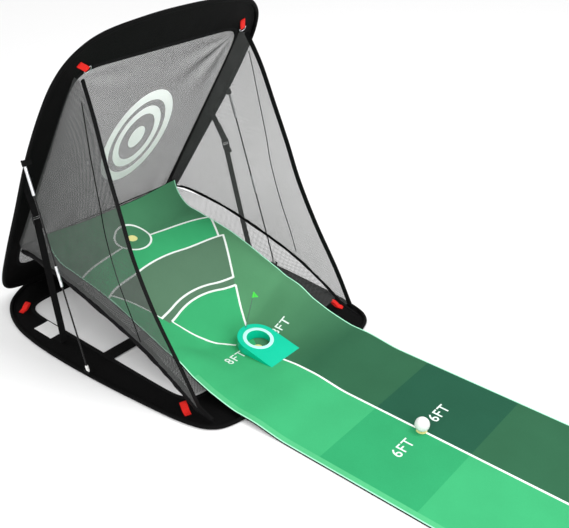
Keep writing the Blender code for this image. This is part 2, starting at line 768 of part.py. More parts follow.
def make_strap(side, label):
    """Side strap: a short sewn loop, a ladder buckle and a long tail to the floor band."""
    x = side * (PANEL_WIDTH / 2 - STRAP_INSET)
    half = Vector((STRAP_WIDTH / 2, 0, 0))
    top, leave = [panel_face(x, up, WEBBING / 2 + GAP) for up in STRAP_LOOP_UP[label]]
    buckle_top = Vector((x, HINGE.y - BUCKLE_PLACE[label][0], BUCKLE_PLACE[label][1]))
    ribbon(label + "_strap_loop", [top, leave, leave.lerp(buckle_top, 0.35), buckle_top],
           half, WEBBING, webbing_black())
    foot = Vector((x, HINGE.y - STRAP_FOOT_FROM_HINGE[label], FABRIC + GAP + WEBBING / 2))
    down = (foot - buckle_top).normalized()
    face = Vector((1, 0, 0)).cross(down) * BUCKLE_THICKNESS
    start = buckle_top + down * BUCKLE_SEAT

    def plate(outer, low, high):
        corners = ((-outer, low), (outer, low), (outer, high), (-outer, high))
        return [start + Vector((across, 0, 0)) + down * along for across, along in corners]

    frame = [p - face / 2 for p in plate(STRAP_WIDTH / 2 + BUCKLE_RIM, 0, BUCKLE_HEIGHT)]
    black = material("black_plastic", (0.02, 0.02, 0.02), 0.35)
    buckle = prism(label + "_buckle", frame, face, black)
    for number, (low, high) in enumerate(BUCKLE_SLOTS):
        slot = [p - face * 1.5 for p in plate(STRAP_WIDTH / 2 + GAP, low, high)]
        cut(buckle, prism(label + "_slot_cutter_" + str(number), slot, face * 3, black))
    tail = start + down * (BUCKLE_HEIGHT + BUCKLE_SEAT)
    path = [tail, tail.lerp(foot, 0.5), tail.lerp(foot, 0.98)]
    path += [foot + Vector((0, 0.006, 0)), foot + Vector((0, STRAP_TAIL_LAP, 0))]
    ribbon(label + "_strap_tail", path, half, WEBBING, webbing_black())


def cut(target, cutter):
    cutter.hide_render = True
    cutter.display_type = "WIRE"
    modifier = target.modifiers.new(cutter.name, "BOOLEAN")
    modifier.operation = "DIFFERENCE"
    modifier.solver = "EXACT"
    modifier.object = cutter


def rod_x():
    return PANEL_WIDTH / 2 + ROD_TIP_RADIUS + 2 * GAP


def rod_foot(side):
    """Pivot of a brace rod: the middle of its foot tip, in the cradle on the floor hem."""
    cradle = 2 * HEM_RADIUS + GAP + FABRIC
    share = ROD_FOOT_FROM_HINGE / FLOOR_LENGTH
    x = ring_half_width(FLOOR_SHAPE, FLOOR_WIDTH / 2 - HEM_RADIUS, share)
    return Vector((side * x, HINGE.y - ROD_FOOT_FROM_HINGE, cradle + GAP + ROD_TIP_RADIUS))


def rod_top(side):
    top = on_panel(Vector((0, ROD_TOP_UP_PANEL)), HEM_RADIUS + 0.0005)
    return Vector((side * rod_x(), top.y, top.z))


def make_rod(side, label):
    foot = rod_foot(side)
    top = rod_top(side)
    up = (top - foot).normalized()
    length = (top - foot).length
    black = material("black_fibreglass", (0.015, 0.015, 0.016), 0.4)
    white = material("white_nylon", (0.85, 0.85, 0.85), 0.45)
    name = label + "_rod_"
    split = foot + up * (length * ROD_SPLIT)
    start = foot + up * ROD_FOOT_SEAT
    end = top - up * ROD_TOP_SEAT
    bar(name + "lower", start, split - up * GAP, ROD_RADIUS, black, origin=foot)
    bar(name + "upper", split + up * GAP, end, ROD_RADIUS, black, origin=foot)
    half = ROD_MID_FERRULE / 2
    tube = [(ROD_BORE, -half), (ROD_FERRULE_RADIUS, -half), (ROD_FERRULE_RADIUS, half), (ROD_BORE, half)]
    turned(name + "ferrule", tube, split, up, steel(), origin=foot)
    cap(name + "foot_tip", foot, up, ROD_TIP_RADIUS, ROD_FOOT_TIP, ROD_FOOT_SEAT - GAP, white, foot)
    cap(name + "top_tip", top, -up, ROD_TOP_TIP_RADIUS, ROD_TOP_FERRULE, ROD_TOP_SEAT - GAP, steel(), foot)
    make_cradle(label, foot)
    ahead = up.cross(Vector((1, 0, 0)))
    ahead = ahead if ahead.y < 0 else -ahead
    inner = PANEL_WIDTH / 2 - HEM_RADIUS * (1 - math.cos(math.pi / 6)) + GAP
    outer = rod_x() + ROD_TIP_RADIUS
    low, high = STAY_REACH
    base = top + ahead * (ROD_TIP_RADIUS + GAP)
    corners = [(inner, low), (outer, low), (outer, high), (inner, high)]
    outline = [Vector((side * x, base.y, base.z)) + up * along for x, along in corners]
    prism(label + "_rod_stay", outline, ahead * FABRIC, webbing_black())


def cap(name, end, inward, radius, length, floor, finish, origin):
    """A cap on a rod's end: round-nosed outside, with a blind bore for the rod."""
    sides = 12
    first, second = frame_of(inward)
    steps = [(radius, 0.0), (radius, length), (ROD_BORE, length), (ROD_BORE, floor)]
    nose = [(radius * math.sin(t), -radius * math.cos(t)) for t in (math.pi / 6, math.pi / 3)]
    steps = nose + steps
    rings = []
    for r, h in steps:
        ring = []
        for k in range(sides):
            turn = 2 * math.pi * k / sides
            out = first * math.cos(turn) + second * math.sin(turn)
            ring.append(Vector(end) + out * r + inward * h)
        rings.append(ring)
    loft(name, rings, finish, origin=origin)


def make_cradle(label, foot):
    """A folded strip on the floor hem, open along Y, that the rod's foot turns in."""
    inside = ROD_TIP_RADIUS + GAP
    outside = inside + FABRIC
    section = [(-outside, -outside), (outside, -outside), (outside, CRADLE_WALL), (inside, CRADLE_WALL),
               (inside, -inside), (-inside, -inside), (-inside, CRADLE_WALL), (-outside, CRADLE_WALL)]
    outline = [foot + Vector((x, -CRADLE_LENGTH / 2, z)) for x, z in section]
    prism(label + "_rod_cradle", outline, (0, CRADLE_LENGTH, 0), webbing_black())


# ---- cup, flag and ball --------------------------------------------------------------
def cup_middle():
    y = TEE_Y + CUP_MARK * FOOT + CUP_OFFSET[1]
    return Vector((CUP_OFFSET[0], y, MAT_ON_SLING + MAT_THICKNESS + GAP))


def pole_foot():
    back = CUP_RADIUS - (CUP_RADIUS - CUP_RING_RADIUS) / 2
    return cup_middle() + Vector((0, back, CUP_HEIGHT + CUP_SLOPE * back - POLE_SOCKET))


def pole_way():
    return Vector((math.sin(POLE_TILT), 0, math.cos(POLE_TILT)))


def round_outline(centre, radius, sides=32):
    turns = [2 * math.pi * k / sides for k in range(sides)]
    return [centre + Vector((math.cos(t), math.sin(t), 0)) * radius for t in turns]


def make_cup():
    middle = cup_middle()
    teal = material("teal_plastic", (0.0, 0.6, 0.45), 0.35)
    mint = material("mint_plastic", (0.5, 0.9, 0.8), 0.4)
    outline = [Vector((CUP_RADIUS, -CUP_RAMP_REACH, 0))]
    for k in range(17):
        turn = math.pi * k / 16
        outline.append(Vector((math.cos(turn), math.sin(turn), 0)) * CUP_RADIUS)
    outline.append(Vector((-CUP_RADIUS, -CUP_RAMP_REACH, 0)))
    high = CUP_HEIGHT + CUP_SLOPE * CUP_RADIUS + 0.02
    cup = prism("cup", [middle + p for p in outline], (0, 0, high), teal)
    wide = CUP_RADIUS + 0.01
    before = CUP_RAMP_REACH + 0.01
    ramp = [(-before, CUP_HEIGHT - CUP_SLOPE * before), (wide, CUP_HEIGHT + CUP_SLOPE * wide),
            (wide, high + 0.02), (-before, high + 0.02)]
    outline = [middle + Vector((-wide, y, z)) for y, z in ramp]
    cut(cup, prism("cup_ramp_cutter", outline, (2 * wide, 0, 0), teal))
    cut(cup, prism("cup_hole_cutter", round_outline(middle - Vector((0, 0, 0.01)), CUP_HOLE_RADIUS),
                   (0, 0, high + 0.02), teal))
    up = Vector((0, -CUP_SLOPE, 1)).normalized()
    along = Vector((0, 1, CUP_SLOPE)).normalized()
    seat = middle + Vector((0, 0, CUP_HEIGHT)) - up * (CUP_RING_DEPTH + GAP)
    flat = round_outline(Vector((0, 0, 0)), CUP_RING_RADIUS)
    tilted = [seat + Vector((p.x, 0, 0)) + along * p.y for p in flat]
    cut(cup, prism("cup_seat_cutter", tilted, up * 0.03, teal))
    foot = pole_foot()
    way = pole_way()
    cut(cup, bar("cup_socket_cutter", foot - way * GAP, foot + way * 0.05, POLE_RADIUS + GAP, teal))
    profile = [(CUP_HOLE_RADIUS, 0), (CUP_RING_RADIUS - GAP, 0),
               (CUP_RING_RADIUS - GAP, CUP_RING_DEPTH + GAP), (CUP_HOLE_RADIUS, CUP_RING_DEPTH + GAP)]
    turned("cup_ring", profile, seat + up * GAP, up, mint, sides=32)


def make_flag():
    foot = pole_foot()
    way = pole_way()
    top = foot + way * POLE_LENGTH
    wire = material("grey_wire", (0.25, 0.3, 0.27), 0.4, 0.6)
    lime = material("lime_plastic", (0.2, 0.85, 0.1), 0.5)
    bar("flag_pole", foot, top, POLE_RADIUS, wire, origin=foot)
    side = Vector((0, 1, 0)).cross(way).normalized()
    base = top - way * (FLAG_SIZE[1] + 0.002)
    inner = POLE_RADIUS + GAP
    outer = inner + FLAG_SLEEVE
    tube = [(inner, 0), (outer, 0), (outer, FLAG_SIZE[1]), (inner, FLAG_SIZE[1])]
    flag = turned("flag", tube, base, way, lime, origin=base)
    near = base + side * (inner + FLAG_SLEEVE / 2) + Vector((0, FLAG_THICKNESS / 2, 0))
    leaf = [near, near + side * (FLAG_SIZE[0] - inner), near + way * FLAG_SIZE[1]]
    plate = prism("flag_leaf_part", leaf, (0, -FLAG_THICKNESS, 0), lime)
    plate.hide_render = True
    plate.display_type = "WIRE"
    join = flag.modifiers.new("leaf", "BOOLEAN")
    join.operation = "UNION"
    join.solver = "EXACT"
    join.object = plate


def make_ball():
    y = TEE_Y + BALL_MARK * FOOT
    centre = Vector((0, y, MAT_THICKNESS + GAP + BALL_RADIUS))
    mesh = bpy.data.meshes.new("golf_ball")
    work = bmesh.new()
    bmesh.ops.create_uvsphere(work, u_segments=18, v_segments=12, radius=BALL_RADIUS)
    work.to_mesh(mesh)
    work.free()
    mesh.materials.append(material("white_urethane", (0.9, 0.9, 0.9), 0.25))
    ball = bpy.data.objects.new("golf_ball", mesh)
    ball.location = centre
    bpy.context.scene.collection.objects.link(ball)


def clear_scene():
    for found in list(bpy.data.objects):
        bpy.data.objects.remove(found, do_unlink=True)


def shade():
    for made in bpy.data.objects:
        if made.type == "MESH" and not made.hide_render:
            made.data.shade_smooth()
            made.data.set_sharp_from_angle(angle=math.radians(35))


def main():
    clear_scene()
    make_floor()
    make_panel()
    make_hinge_strip()
    make_targets()
    make_mat()
    make_sling()
    for side, label in ((-1, "left"), (1, "right")):
        make_side_net(side, label)
        make_strap(side, label)
        make_rod(side, label)
    make_tabs()
    make_cup()
    make_flag()
    make_ball()
    shade()


main()
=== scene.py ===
# %% [markdown]
# # A practice putting mat that climbs into a fold-down net
# The model has already been built and packed as plain solids, one for each real piece.
# This notebook dresses those solids: cloth gets its weave and its seams, nets get real
# threads, and the mat gets its print. Everything is in metres. +Y runs from the tee end
# of the mat towards the net, +X is the golfer's right and +Z is up.

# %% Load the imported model
import json
import math

import bmesh
import bpy
import numpy as np
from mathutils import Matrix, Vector


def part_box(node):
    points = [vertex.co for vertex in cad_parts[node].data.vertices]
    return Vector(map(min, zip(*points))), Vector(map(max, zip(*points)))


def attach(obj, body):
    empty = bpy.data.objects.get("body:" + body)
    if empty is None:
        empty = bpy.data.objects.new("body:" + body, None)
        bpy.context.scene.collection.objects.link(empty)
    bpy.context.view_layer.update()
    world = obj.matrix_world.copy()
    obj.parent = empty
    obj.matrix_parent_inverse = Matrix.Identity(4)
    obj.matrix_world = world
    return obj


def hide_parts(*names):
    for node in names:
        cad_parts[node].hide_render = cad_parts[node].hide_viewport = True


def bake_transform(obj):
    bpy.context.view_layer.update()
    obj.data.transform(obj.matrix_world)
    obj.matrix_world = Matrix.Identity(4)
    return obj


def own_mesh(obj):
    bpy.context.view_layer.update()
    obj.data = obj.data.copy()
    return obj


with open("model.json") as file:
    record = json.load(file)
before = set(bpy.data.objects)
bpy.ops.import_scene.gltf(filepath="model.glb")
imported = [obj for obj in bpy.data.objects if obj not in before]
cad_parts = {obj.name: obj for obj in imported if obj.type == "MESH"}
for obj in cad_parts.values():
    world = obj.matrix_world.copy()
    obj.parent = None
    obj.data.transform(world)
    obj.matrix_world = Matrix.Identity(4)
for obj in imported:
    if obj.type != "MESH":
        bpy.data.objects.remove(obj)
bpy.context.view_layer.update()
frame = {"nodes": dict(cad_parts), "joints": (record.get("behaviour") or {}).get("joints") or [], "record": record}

# %% [markdown]
# ## Where things are
# Cloth is drawn over the same lines that the solids were built on, so those lines are
# written down once here. The hinge line at the back of the floor ring is the natural
# place to measure from, because the panel folds about it.

# %% The lines that everything follows
GAP = 0.0003
FOOT = 0.3048
MAT_WIDTH = 0.57
MAT_THICKNESS = 0.005
MAT_TEE_MARGIN = 0.15
CURL_RADIUS = 0.115
CURL_END = math.radians(80)
HINGE_FROM_TEE = 3.33
FLOOR_WIDTH, FLOOR_LENGTH = 0.89, 1.10
PANEL_WIDTH, PANEL_LENGTH = 0.824, 1.21
PANEL_LEAN = math.radians(58)
FABRIC, NET, WEBBING = 0.0015, 0.0012, 0.0012
HEM_RADIUS = 0.006
STRIP_RADIUS = HEM_RADIUS + GAP + FABRIC
TEE_Y = MAT_TEE_MARGIN - (MAT_TEE_MARGIN + HINGE_FROM_TEE + STRIP_RADIUS) / 2
HINGE = Vector((0, TEE_Y + HINGE_FROM_TEE, HEM_RADIUS))
UP_PANEL = Vector((0, -math.cos(PANEL_LEAN), math.sin(PANEL_LEAN)))
OFF_PANEL = Vector((0, -math.sin(PANEL_LEAN), -math.cos(PANEL_LEAN)))
MAT_ON_SLING = FABRIC + 2 * GAP + NET
FLOOR_FRONT_Y = HINGE.y - FLOOR_LENGTH
SIDES = ((-1, "left"), (1, "right"))

FLOOR_SHAPE = [
    (0.0, 0.0), (0.3, 0.0), (0.54, 0.0), (0.66, 0.018), (0.8, 0.062), (0.91, 0.135),
    (0.975, 0.23), (1.0, 0.37), (0.985, 0.57), (0.94, 0.78), (0.9, 0.89), (0.84, 0.95),
    (0.72, 0.98), (0.45, 0.995), (0.0, 1.0),
]
PANEL_SHAPE = [
    (0.0, 0.0), (0.25, 0.0), (0.48, 0.0), (0.66, 0.01), (0.82, 0.035), (0.895, 0.1),
    (0.935, 0.24), (0.965, 0.42), (1.0, 0.62), (0.99, 0.78), (0.945, 0.875),
    (0.84, 0.938), (0.65, 0.978), (0.3, 0.996), (0.0, 1.0),
]
CLIMB = [
    (0.33, 0.198), (0.40, 0.181), (0.47, 0.158), (0.54, 0.128), (0.61, 0.090),
    (0.68, 0.050), (0.74, 0.018), (0.78, MAT_ON_SLING),
]
EDGE_LIFT = [
    (0.25, 0.012), (0.33, 0.014), (0.43, 0.026), (0.56, 0.052), (0.66, 0.075),
    (0.75, 0.092), (0.83, 0.080), (0.89, 0.050), (0.98, 0.022), (1.06, 0.0),
]
HEM_LINE = [
    (0.176, 0.338, 0.247), (0.26, 0.345, 0.251), (0.46, 0.352, 0.222),
    (0.72, 0.354, 0.152), (0.86, 0.354, 0.090), (0.975, 0.352, 0.026),
]
FRONT_EDGE = [
    (0.582, 0.318, 0.893), (0.628, 0.330, 0.800), (0.672, 0.341, 0.680),
    (0.722, 0.350, 0.550), (0.766, 0.356, 0.430), (0.838, 0.360, 0.290),
    (0.928, 0.360, 0.150), (0.992, 0.357, 0.040),
]


def on_floor(x, front, height):
    return Vector((x, HINGE.y - front, height))


def on_panel(x, up, height):
    """A point of the panel, its height measured off the panel's back face."""
    return HINGE + Vector((x, 0, 0)) + UP_PANEL * up + OFF_PANEL * (height - HEM_RADIUS)


def panel_face(x, up, off=0.0):
    return on_panel(x, up, FABRIC + off)


print("hinge line at", [round(v, 4) for v in HINGE])

# %% [markdown]
# ## Camera, light and floor
# The set is long, so a normal lens from above one corner shows both the mat's print and
# the inside of the net. The light is a bright studio: white all round, with one broad
# lamp that gives the soft shadow inside the floor ring.

# %% Camera, light and floor
scene = bpy.context.scene
scene.view_settings.view_transform = "Standard"
scene.view_settings.look = "None"
view_data = bpy.data.cameras.new("studio_camera")
view_data.sensor_width = 36
view_data.lens = 52.5
view_data.clip_end = 100
camera = bpy.data.objects.new("studio_camera", view_data)
camera.location = (-1.6027, -0.6129, 1.5478)
camera.rotation_euler = (math.radians(60.3), 0, math.radians(-50))
scene.collection.objects.link(camera)
scene.camera = camera

world = bpy.data.worlds.new("white_studio")
world.use_nodes = True
world.node_tree.nodes["Background"].inputs["Color"].default_value = (1, 1, 1, 1)
world.node_tree.nodes["Background"].inputs["Strength"].default_value = 0.95
scene.world = world


def lamp(name, place, target, size, power):
    data = bpy.data.lights.new(name, "AREA")
    data.energy = power
    data.shape = "DISK"
    data.size = size
    made = bpy.data.objects.new(name, data)
    made.location = place
    made.rotation_euler = (Vector(target) - Vector(place)).to_track_quat("-Z", "Y").to_euler()
    scene.collection.objects.link(made)
    return made


lamp("broad_lamp", (1.6, -1.5, 4.6), (0, 0.6, 0), 2.6, 108)
lamp("side_lamp", (-3.6, 0.4, 2.6), (0, 0.8, 0.3), 2.0, 34)
lamp("front_lamp", (-0.9, -1.6, 0.9), (0, 1.4, 0.55), 1.2, 20)
print("camera at", [round(v, 3) for v in camera.location])

# %% [markdown]
# ## Small helpers
# A shader pattern is a sum of simple steps. The Signal class lets those steps be written
# as ordinary sums, so that the mat's print reads like a drawing and not like wiring.

# %% Colours and shader signals
def srgb(red, green, blue):
    """A screen colour, from 0 to 255, as the linear colour that a shader takes."""
    def line(value):
        value /= 255
        return value / 12.92 if value <= 0.04045 else ((value + 0.055) / 1.055) ** 2.4
    return (line(red), line(green), line(blue), 1.0)


class Signal:
    """A number on a shader socket that can be added, multiplied and compared."""

    def __init__(self, tree, socket):
        self.tree = tree
        self.socket = socket

    def do(self, operation, *others):
        node = self.tree.nodes.new("ShaderNodeMath")
        node.operation = operation
        for slot, value in zip(node.inputs, (self, *others)):
            if isinstance(value, Signal):
                self.tree.links.new(value.socket, slot)
            else:
                slot.default_value = value
        return Signal(self.tree, node.outputs[0])

    def __add__(self, other):
        return self.do("ADD", other)

    def __sub__(self, other):
        return self.do("SUBTRACT", other)

    def __mul__(self, other):
        return self.do("MULTIPLY", other)

    def __lt__(self, other):
        return self.do("LESS_THAN", other)

    def __gt__(self, other):
        return self.do("GREATER_THAN", other)

    def both(self, other):
        return self.do("MINIMUM", other)

    def either(self, other):
        return self.do("MAXIMUM", other)

    def size(self):
        return self.do("ABSOLUTE")

    def wave(self, pitch):
        """A smooth wave from 0 to 1 that repeats every pitch."""
        return (self * (2 * math.pi / pitch)).do("SINE") * 0.5 + 0.5


class Finish:
    """A material under construction: its shader, and short calls for common nodes."""

    def __init__(self, name, colour=(0.5, 0.5, 0.5, 1), roughness=0.5, **sockets):
        self.material = bpy.data.materials.new(name)
        self.material.use_nodes = True
        self.tree = self.material.node_tree
        self.shader = self.tree.nodes["Principled BSDF"]
        self.shader.inputs["Base Color"].default_value = colour
        self.shader.inputs["Roughness"].default_value = roughness
        for socket, value in sockets.items():
            self.shader.inputs[socket.replace("_", " ")].default_value = value
        self.colour = colour
        self.material.diffuse_color = colour

    def place(self, kind="Object"):
        node = self.tree.nodes.new("ShaderNodeTexCoord")
        return node.outputs[kind]

    def axes(self, kind="Object"):
        node = self.tree.nodes.new("ShaderNodeSeparateXYZ")
        self.tree.links.new(self.place(kind), node.inputs[0])
        return [Signal(self.tree, out) for out in node.outputs]

    def noise(self, scale, detail=3.0, stretch=(1, 1, 1), kind="Object"):
        turn = self.tree.nodes.new("ShaderNodeMapping")
        turn.inputs["Scale"].default_value = stretch
        self.tree.links.new(self.place(kind), turn.inputs[0])
        node = self.tree.nodes.new("ShaderNodeTexNoise")
        node.inputs["Scale"].default_value = scale
        node.inputs["Detail"].default_value = detail
        self.tree.links.new(turn.outputs[0], node.inputs["Vector"])
        return Signal(self.tree, node.outputs["Fac"])

    def blend(self, share, first, second):
        """A colour that goes from first to second as share goes from 0 to 1."""
        node = self.tree.nodes.new("ShaderNodeMix")
        node.data_type = "RGBA"
        for slot, value in ((0, share), (6, first), (7, second)):
            if isinstance(value, Signal):
                self.tree.links.new(value.socket, node.inputs[slot])
            elif isinstance(value, bpy.types.NodeSocket):
                self.tree.links.new(value, node.inputs[slot])
            else:
                node.inputs[slot].default_value = value
        return node.outputs[2]

    def paint(self, colour):
        self.tree.links.new(colour, self.shader.inputs["Base Color"])

    def rough(self, signal):
        self.tree.links.new(signal.socket, self.shader.inputs["Roughness"])

    def bump(self, height, strength, depth=0.001):
        node = self.tree.nodes.new("ShaderNodeBump")
        node.inputs["Strength"].default_value = strength
        node.inputs["Distance"].default_value = depth
        self.tree.links.new(height.socket, node.inputs["Height"])
        self.tree.links.new(node.outputs[0], self.shader.inputs["Normal"])


def shade(colour, share):
    return (colour[0] * share, colour[1] * share, colour[2] * share, 1.0)


print("helpers ready")

# %% [markdown]
# ## Mesh helpers
# Long thin things share two builders. `tube` sweeps a round section along a path for
# cords and rods, and `ribbon` sweeps a flat one for webbing, and writes a UV map in
# metres so that the weave follows the strap. `lathe` turns a profile about an axis.

# %% Mesh helpers
def catmull(a, b, c, d, t):
    return 0.5 * (
        2 * b + (c - a) * t + (2 * a - 5 * b + 4 * c - d) * t**2 + (3 * b - a - 3 * c + d) * t**3
    )


def smooth_closed(points, per_span):
    count = len(points)
    curve = []
    for i in range(count):
        four = [Vector(points[(i + k) % count]) for k in (-1, 0, 1, 2)]
        curve += [catmull(*four, step / per_span) for step in range(per_span)]
    return curve


def smooth_open(points, count):
    points = [Vector(p) for p in points]
    points = [2 * points[0] - points[1]] + points + [2 * points[-1] - points[-2]]
    spans = len(points) - 3
    curve = []
    for k in range(count):
        where = k * spans / (count - 1)
        i = min(int(where), spans - 1)
        curve.append(catmull(*points[i : i + 4], where - i))
    return curve


def look_up(table, x, column=1):
    """The value in a table at x, on a smooth curve through its rows."""
    if x <= table[0][0]:
        return table[0][column]
    for i, (low, high) in enumerate(zip(table, table[1:])):
        if x <= high[0]:
            before = table[max(i - 1, 0)][column]
            after = table[min(i + 2, len(table) - 1)][column]
            t = (x - low[0]) / (high[0] - low[0])
            return catmull(before, low[column], high[column], after, t)
    return table[-1][column]


def smoothstep(low, high, x):
    t = min(max((x - low) / (high - low), 0.0), 1.0)
    return t * t * (3 - 2 * t)


def piece(name, points, faces, *finishes, smooth=True, merge=False):
    """A new mesh object at the origin, with its normals turned outward."""
    mesh = bpy.data.meshes.new(name)
    mesh.from_pydata([tuple(p) for p in points], [], faces)
    work = bmesh.new()
    work.from_mesh(mesh)
    if merge:
        bmesh.ops.remove_doubles(work, verts=work.verts, dist=1e-6)
    bmesh.ops.recalc_face_normals(work, faces=work.faces)
    closed = all(len(edge.link_faces) == 2 for edge in work.edges)
    if closed and work.calc_volume(signed=True) < 0:
        bmesh.ops.reverse_faces(work, faces=work.faces)
    work.to_mesh(mesh)
    work.free()
    for finish in finishes:
        mesh.materials.append(finish.material)
    made = bpy.data.objects.new(name, mesh)
    scene.collection.objects.link(made)
    if smooth:
        mesh.shade_smooth()
        mesh.set_sharp_from_angle(angle=math.radians(40))
    return made


def settle(made, body, slot_name, *nodes):
    """A finished piece rides on its body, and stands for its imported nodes."""
    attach(made, body)
    if nodes:
        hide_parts(*nodes)
    return made


def frames_along(path, ring=False):
    """(point, first, second) along a path, the frame carried on without twisting."""
    count = len(path)
    frames = []
    first = None
    for i, point in enumerate(path):
        before = path[i - 1] if i or ring else path[0]
        after = path[(i + 1) % count] if i < count - 1 or ring else path[-1]
        along = (after - before).normalized()
        if first is None:
            first = Vector((1, 0, 0)) if abs(along.x) < 0.9 else Vector((0, 0, 1))
        first = (first - along * first.dot(along)).normalized()
        frames.append((point, first, along.cross(first)))
    return frames


def skin(count, sides, ring=False):
    """The four-sided faces over a row of sections that have the same number of points."""
    faces = []
    for i in range(count if ring else count - 1):
        a, b = i * sides, (i + 1) % count * sides
        for j in range(sides):
            k = (j + 1) % sides
            faces.append((a + j, a + k, b + k, b + j))
    return faces


def ends_of(count, sides):
    """The two faces that cap a row of sections."""
    return [tuple(range(sides)), tuple(range((count - 1) * sides, count * sides))]


def tube_parts(path, radius, sides=10, ring=False):
    """Points and faces of a round tube. radius may be one number or one for each point."""
    frames = frames_along(path, ring)
    radii = radius if isinstance(radius, (list, tuple)) else [radius] * len(frames)
    points = []
    for (point, first, second), r in zip(frames, radii):
        for k in range(sides):
            turn = 2 * math.pi * k / sides
            points.append(point + (first * math.cos(turn) + second * math.sin(turn)) * r)
    count = len(frames)
    return points, skin(count, sides, ring) + ([] if ring else ends_of(count, sides))


def tube(name, path, radius, finish, sides=10, ring=False):
    return piece(name, *tube_parts(path, radius, sides, ring), finish)


def lathe(name, profile, base, axis, finish, sides=48, closed=False):
    """A (radius, height) profile turned about an axis. An open one is capped at its ends."""
    axis = Vector(axis).normalized()
    start = Vector((1, 0, 0)) if abs(axis.x) < 0.9 else Vector((0, 1, 0))
    first = (start - axis * start.dot(axis)).normalized()
    second = axis.cross(first)
    points, faces = [], []
    rows = len(profile)
    for k in range(sides):
        turn = 2 * math.pi * k / sides
        out = first * math.cos(turn) + second * math.sin(turn)
        points += [Vector(base) + out * r + axis * h for r, h in profile]
    for k in range(sides):
        a, b = k * rows, (k + 1) % sides * rows
        for j in range(rows if closed else rows - 1):
            m = (j + 1) % rows
            faces.append((a + j, b + j, b + m, a + m))
    if not closed:
        faces.append(tuple(k * rows for k in range(sides)))
        faces.append(tuple(k * rows + rows - 1 for k in range(sides)))
    return piece(name, points, faces, finish)


def rounded(width, height, radius, steps=4):
    """A rounded rectangle about the origin, as (across, up) points."""
    corners = []
    for sx, sy, start in ((1, 1, 0), (-1, 1, 90), (-1, -1, 180), (1, -1, 270)):
        for k in range(steps + 1):
            turn = math.radians(start + 90 * k / steps)
            corners.append((sx * (width / 2 - radius) + radius * math.cos(turn),
                            sy * (height / 2 - radius) + radius * math.sin(turn)))
    return corners


def ribbon(name, path, half_width, thickness, finish):
    """Webbing along a path: a flat section with soft edges, and a UV map in metres."""
    frames = []
    for i, point in enumerate(path):
        wide = half_width[i] if isinstance(half_width, list) else Vector(half_width)
        along = (path[min(i + 1, len(path) - 1)] - path[max(i - 1, 0)]).normalized()
        wide_unit = wide.normalized()
        lift = along.cross(wide_unit).normalized()
        frames.append((point, wide_unit, wide.length, lift))
    section = rounded(2.0, 2.0, 0.9, 2)
    sides = len(section)
    points, lengths = [], [0.0]
    for i, (point, wide_unit, reach, lift) in enumerate(frames):
        for across, up in section:
            edge = reach - thickness / 2 + (thickness / 2) * abs(across)
            points.append(point + wide_unit * math.copysign(min(abs(across), 1) * edge, across)
                          + lift * up * thickness / 2)
        if i:
            lengths.append(lengths[-1] + (point - frames[i - 1][0]).length)
    made = piece(name, points, skin(len(frames), sides) + ends_of(len(frames), sides), finish)
    layer = made.data.uv_layers.new(name="UVMap")
    for loop in made.data.loops:
        row, column = divmod(loop.vertex_index, sides)
        layer.data[loop.index].uv = (section[column][0] * frames[row][2], lengths[row])
    return made


print("mesh helpers ready")

# %% [markdown]
# ## Cloth finishes
# The bands are a matt woven polyester. Its weave is far finer than a millimetre, so it is
# given by bump, while slow noise gives the faint creases of cloth that has been folded.
# Webbing is heavier: its ribs run across the strap, so they follow the strap's UV map.

# %% Cloth finishes
def woven(name, colour, pitch=0.0009, crease=0.35, gloss=0.1):
    made = Finish(name, colour, 0.8, Specular_IOR_Level=gloss)
    x, y, z = made.axes()
    weave = (x + z * 0.6).wave(pitch) * (y - z * 0.8).wave(pitch)
    folds = made.noise(9, 5, (1, 0.6, 1))
    worn = made.noise(3.5, 4)
    made.paint(made.blend(worn * 0.7 + weave * 0.3, shade(colour, 0.55), shade(colour, 1.7)))
    made.rough(worn * 0.18 + 0.68)
    made.bump(folds * crease * 6 + weave * 0.35, 0.5, 0.0012)
    return made


def strap_cloth(name, colour, gloss=0.12):
    made = Finish(name, colour, 0.72, Specular_IOR_Level=gloss)
    across, along, _ = made.axes("UV")
    ribs = (along + across.size() * 0.5).wave(0.0022)
    threads = across.wave(0.0011)
    wear = made.noise(40, 3)
    made.paint(made.blend(ribs * 0.6 + wear * 0.4, shade(colour, 0.6), shade(colour, 1.6)))
    made.bump(ribs + threads * 0.5, 0.7, 0.0004)
    return made


def cast(name, colour, roughness, grain=900, variation=0.12, bump=0.08, **sockets):
    """Moulded or painted stock: a fine grain, and slow patches of handling wear."""
    made = Finish(name, colour, roughness, **sockets)
    patches = made.noise(22, 4)
    fine = made.noise(grain, 2)
    made.paint(made.blend(patches, shade(colour, 1 - variation), shade(colour, 1 + variation)))
    made.rough(patches * 0.16 + fine * 0.08 + (roughness - 0.12))
    made.bump(fine, bump, 0.0003)
    return made


BAND = woven("band_polyester", (0.0012, 0.0012, 0.0013, 1))
HEM = woven("hem_polyester", (0.0045, 0.0045, 0.0048, 1), crease=0.2)
STRAP = strap_cloth("black_webbing", (0.0032, 0.0032, 0.0034, 1))
RED = strap_cloth("red_webbing", srgb(222, 40, 34))
STEEL = cast("plated_steel", (0.72, 0.73, 0.75, 1), 0.3, 1400, 0.15, 0.05, Metallic=1.0)
NYLON = cast("white_nylon", (0.8, 0.8, 0.78, 1), 0.45)
FIBREGLASS = cast("black_fibreglass", (0.004, 0.004, 0.0043, 1), 0.36, 600, 0.3, 0.12,
                  Specular_IOR_Level=0.3)
BUCKLE = cast("buckle_plastic", (0.005, 0.005, 0.0053, 1), 0.38, 1200, 0.3, 0.15,
              Specular_IOR_Level=0.35)
TEAL = cast("cup_teal_plastic", (0.0, 0.55, 0.33, 1), 0.42, 1500, 0.05, 0.1, Specular_IOR_Level=0.2)
MINT = cast("cup_mint_plastic", srgb(190, 250, 236), 0.4, 1500, 0.03, 0.08)
